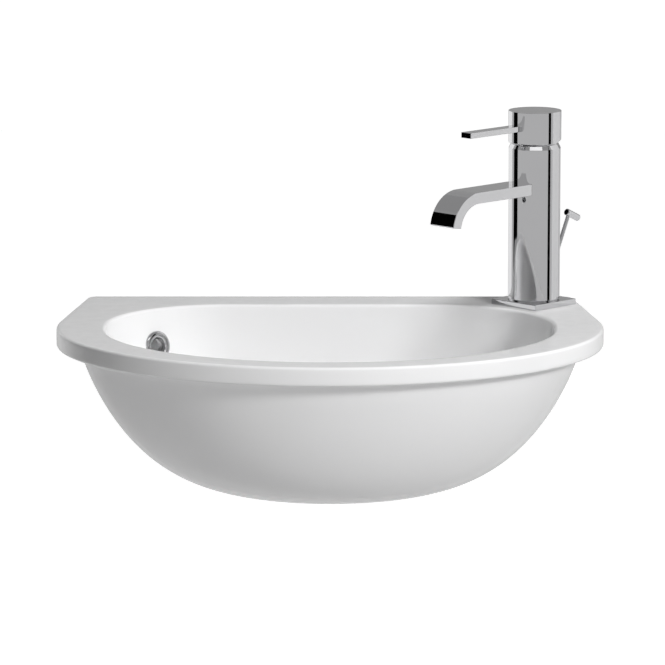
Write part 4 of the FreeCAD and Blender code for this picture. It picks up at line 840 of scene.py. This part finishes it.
tail = tube(TAIL_R, TAIL_BORE_R, TAIL_END + TAIL_PLAIN_START, TAIL_TOP, TAIL_EDGE_R)
tail_thread = threaded(TAIL_THREAD_R, TAIL_THREAD_DEPTH, TAIL_PITCH, TAIL_END, TAIL_END + TAIL_THREAD_LENGTH,
                       TAIL_BORE_R, ROUND_PLAIN)
ball_port = tube(PORT_R, PORT_BORE_R, PORT_START, PORT_END, PORT_EDGE_R, ROUND_SMALL)
piece("tail_pipe", [carried(tail, WASTE), carried(tail_thread, WASTE), carried(ball_port, PORT)], HERE, CHROME,
      "basin", ["waste_tail"], looped=True)
cap_profile = [(CAP_BORE_R, CAP_END), (CAP_R, CAP_END), (CAP_R, CAP_START), (CAP_THREAD_R, CAP_START),
               (CAP_THREAD_R, PORT_END), (CAP_BORE_R, PORT_END)]
piece("ball_cap", [turned(eased(cap_profile, CAP_EDGE_R, closed=True), ROUND_SMALL)], PORT, CHROME, "basin",
      ["ball_gland_nut"], looped=True)
piece("pop_up_wire", [turned(lever_profile(), ROUND_WIRE)], LEVER, STEEL, "ball_lever", ["ball_lever"])


# CAD pieces that keep their own shape

for names, finish in (
    (("tap_base_seal", "spout_seal", "cartridge_seals", "flange_seal", "plug_seal"), RUBBER),
    (("flow_straightener", "cartridge_housing", "cartridge_rotor", "rod_guide_bush", "ball_seats", "plug_stem"),
     ACETAL),
    (("fixed_disc", "moving_disc"), ALUMINA),
    (("spindle", "cartridge_nut", "rod_clamp"), BRASS),
    (("spout_grub_screw", "spindle_pin", "lever_grub_screw", "clamp_screw"), STEEL),
):
    for name in names:
        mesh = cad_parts[name].data
        mesh.materials.clear()
        mesh.materials.append(finish)


# Studio, in metres

WHITE = (1.0, 1.0, 1.0, 1.0)
PALE_CARD = "BEBEBE"
BLACK_CARD = "050505"
LAMP_SIZE = 0.5
AIM = (0, -0.18, 0)
# Glow of the world by the rise of a ray: the sky that mirrors show, and the haze that lights the matt surfaces
SKY = {"From Max": 0.62, "To Min": 0.71, "To Max": 0.40}
HAZE = {"From Min": -0.2, "From Max": 0.5, "To Min": 0.66, "To Max": 0.06}
CAMERA_AT = (0.0022, -4.6621, 0.8124)
CAMERA_TILT = 79.9
LENS_MM = 270.7
SENSOR_MM = 36.0
CLIP_END = 60.0


def card(name, centre, across, up, shade, seen, mirrored):
    """Flat studio board: a rectangle from its middle and two half sides, plain coloured, with a white glow.

    The glow has one level for camera rays and another for mirror rays. A board with no glow for the camera stands
    beside the object and isn't seen itself."""
    c, u, v = (np.array(w, float) for w in (centre, across, up))
    mesh = bpy.data.meshes.new(name)
    mesh.from_pydata([tuple(c - u - v), tuple(c + u - v), tuple(c + u + v), tuple(c - u + v)], [], [(0, 1, 2, 3)])
    board = bpy.data.objects.new(name, mesh)
    bpy.context.collection.objects.link(board)
    paint = bpy.data.materials.new(name)
    paint.use_nodes = True
    tree = paint.node_tree
    tree.nodes.clear()
    path = add(tree, "ShaderNodeLightPath")
    mirror = add(tree, "ShaderNodeMath", {0: path.outputs["Is Glossy Ray"], 1: mirrored}, operation="MULTIPLY")
    level = add(tree, "ShaderNodeMath", {0: path.outputs["Is Camera Ray"], 1: seen, 2: mirror.outputs["Value"]},
                operation="MULTIPLY_ADD")
    plain = add(tree, "ShaderNodeBsdfDiffuse", {"Color": colour(shade)})
    light = add(tree, "ShaderNodeEmission", {"Color": WHITE, "Strength": level.outputs["Value"]})
    both = add(tree, "ShaderNodeAddShader", {0: plain.outputs["BSDF"], 1: light.outputs["Emission"]})
    add(tree, "ShaderNodeOutputMaterial", {"Surface": both.outputs["Shader"]})
    mesh.materials.append(paint)
    board.visible_camera = seen > 0
    return board


def softbox(name, at, power):
    """Square area lamp of a power in watts, aimed at the bowl, that mirrors don't show."""
    lamp = bpy.data.lights.new(name, "AREA")
    lamp.shape, lamp.size, lamp.energy = "SQUARE", LAMP_SIZE, power
    box = bpy.data.objects.new(name, lamp)
    bpy.context.collection.objects.link(box)
    turn, origin = facing(at, np.array(at, float) - np.array(AIM, float))
    box.matrix_world = Matrix([[*turn[0], origin[0]], [*turn[1], origin[1]], [*turn[2], origin[2]], [0, 0, 0, 1]])
    box.visible_glossy = False


scene = bpy.context.scene
scene.view_settings.view_transform = "Standard"

# White surroundings, pale boards for the chrome to mirror, and black flags that give it dark edges
card("floor", (0, 3.3, -0.85), (9, 0, 0), (0, 4.2, 0), PALE_CARD, seen=0.96, mirrored=0.62)
card("backdrop", (0, 7.5, 3.0), (9, 0, 0), (0, 0, 3.9), PALE_CARD, seen=0.96, mirrored=0.27)
card("left_card", (-1.6, 3.4, 0.3), (0, 2.4, 0), (0, 0, 1.15), PALE_CARD, seen=0.0, mirrored=1.05)
card("right_card", (1.6, 0.6, 0.3), (0, 0.8, 0), (0, 0, 1.15), PALE_CARD, seen=0.0, mirrored=0.8)
front = card("front_card", (0.35, -1.68, 1.64), (1.0, 0, 0), (0, 0.2, 0.22), PALE_CARD, seen=0.0, mirrored=1.2)
front.visible_shadow = False  # it stands between the lamps and the basin
card("left_flag", (-1.6, 0.105, 0.3), (0, 0.39, 0), (0, 0, 0.9), BLACK_CARD, seen=0.0, mirrored=0.0)
card("right_flag", (1.6, -0.68, 0.3), (0, 0.19, 0), (0, 0, 0.9), BLACK_CARD, seen=0.0, mirrored=0.0)

# A low lamp on the right, and a weaker one above the right side
softbox("key", (1.66, -1.98, 1.04), power=39.0)
softbox("high", (0.6, -0.62, 2.2), power=28.0)

world = bpy.data.worlds.new("studio")
scene.world = world
world.use_nodes = True
air = world.node_tree
air.nodes.clear()
path = add(air, "ShaderNodeLightPath")
way = add(air, "ShaderNodeTexCoord")
rise = add(air, "ShaderNodeSeparateXYZ", {"Vector": way.outputs["Generated"]})
sky = add(air, "ShaderNodeMapRange", {"Value": rise.outputs["Z"], **SKY})
haze = add(air, "ShaderNodeMapRange", {"Value": rise.outputs["Z"], **HAZE})
mirrored = add(air, "ShaderNodeMapRange", {"Value": path.outputs["Is Glossy Ray"], "To Min": haze.outputs["Result"],
                                           "To Max": sky.outputs["Result"]})
level = add(air, "ShaderNodeMath", {0: mirrored.outputs["Result"], 1: path.outputs["Is Camera Ray"]},
            operation="MAXIMUM")
glow = add(air, "ShaderNodeBackground", {"Color": WHITE, "Strength": level.outputs["Value"]})
add(air, "ShaderNodeOutputWorld", {"Surface": glow.outputs["Background"]})

lens = bpy.data.cameras.new("camera")
lens.lens, lens.sensor_width, lens.sensor_fit = LENS_MM, SENSOR_MM, "HORIZONTAL"
lens.clip_end = CLIP_END
camera = bpy.data.objects.new("camera", lens)
bpy.context.collection.objects.link(camera)
camera.location = CAMERA_AT
camera.rotation_euler = (math.radians(CAMERA_TILT), 0, 0)
scene.camera = camera

bpy.context.view_layer.update()
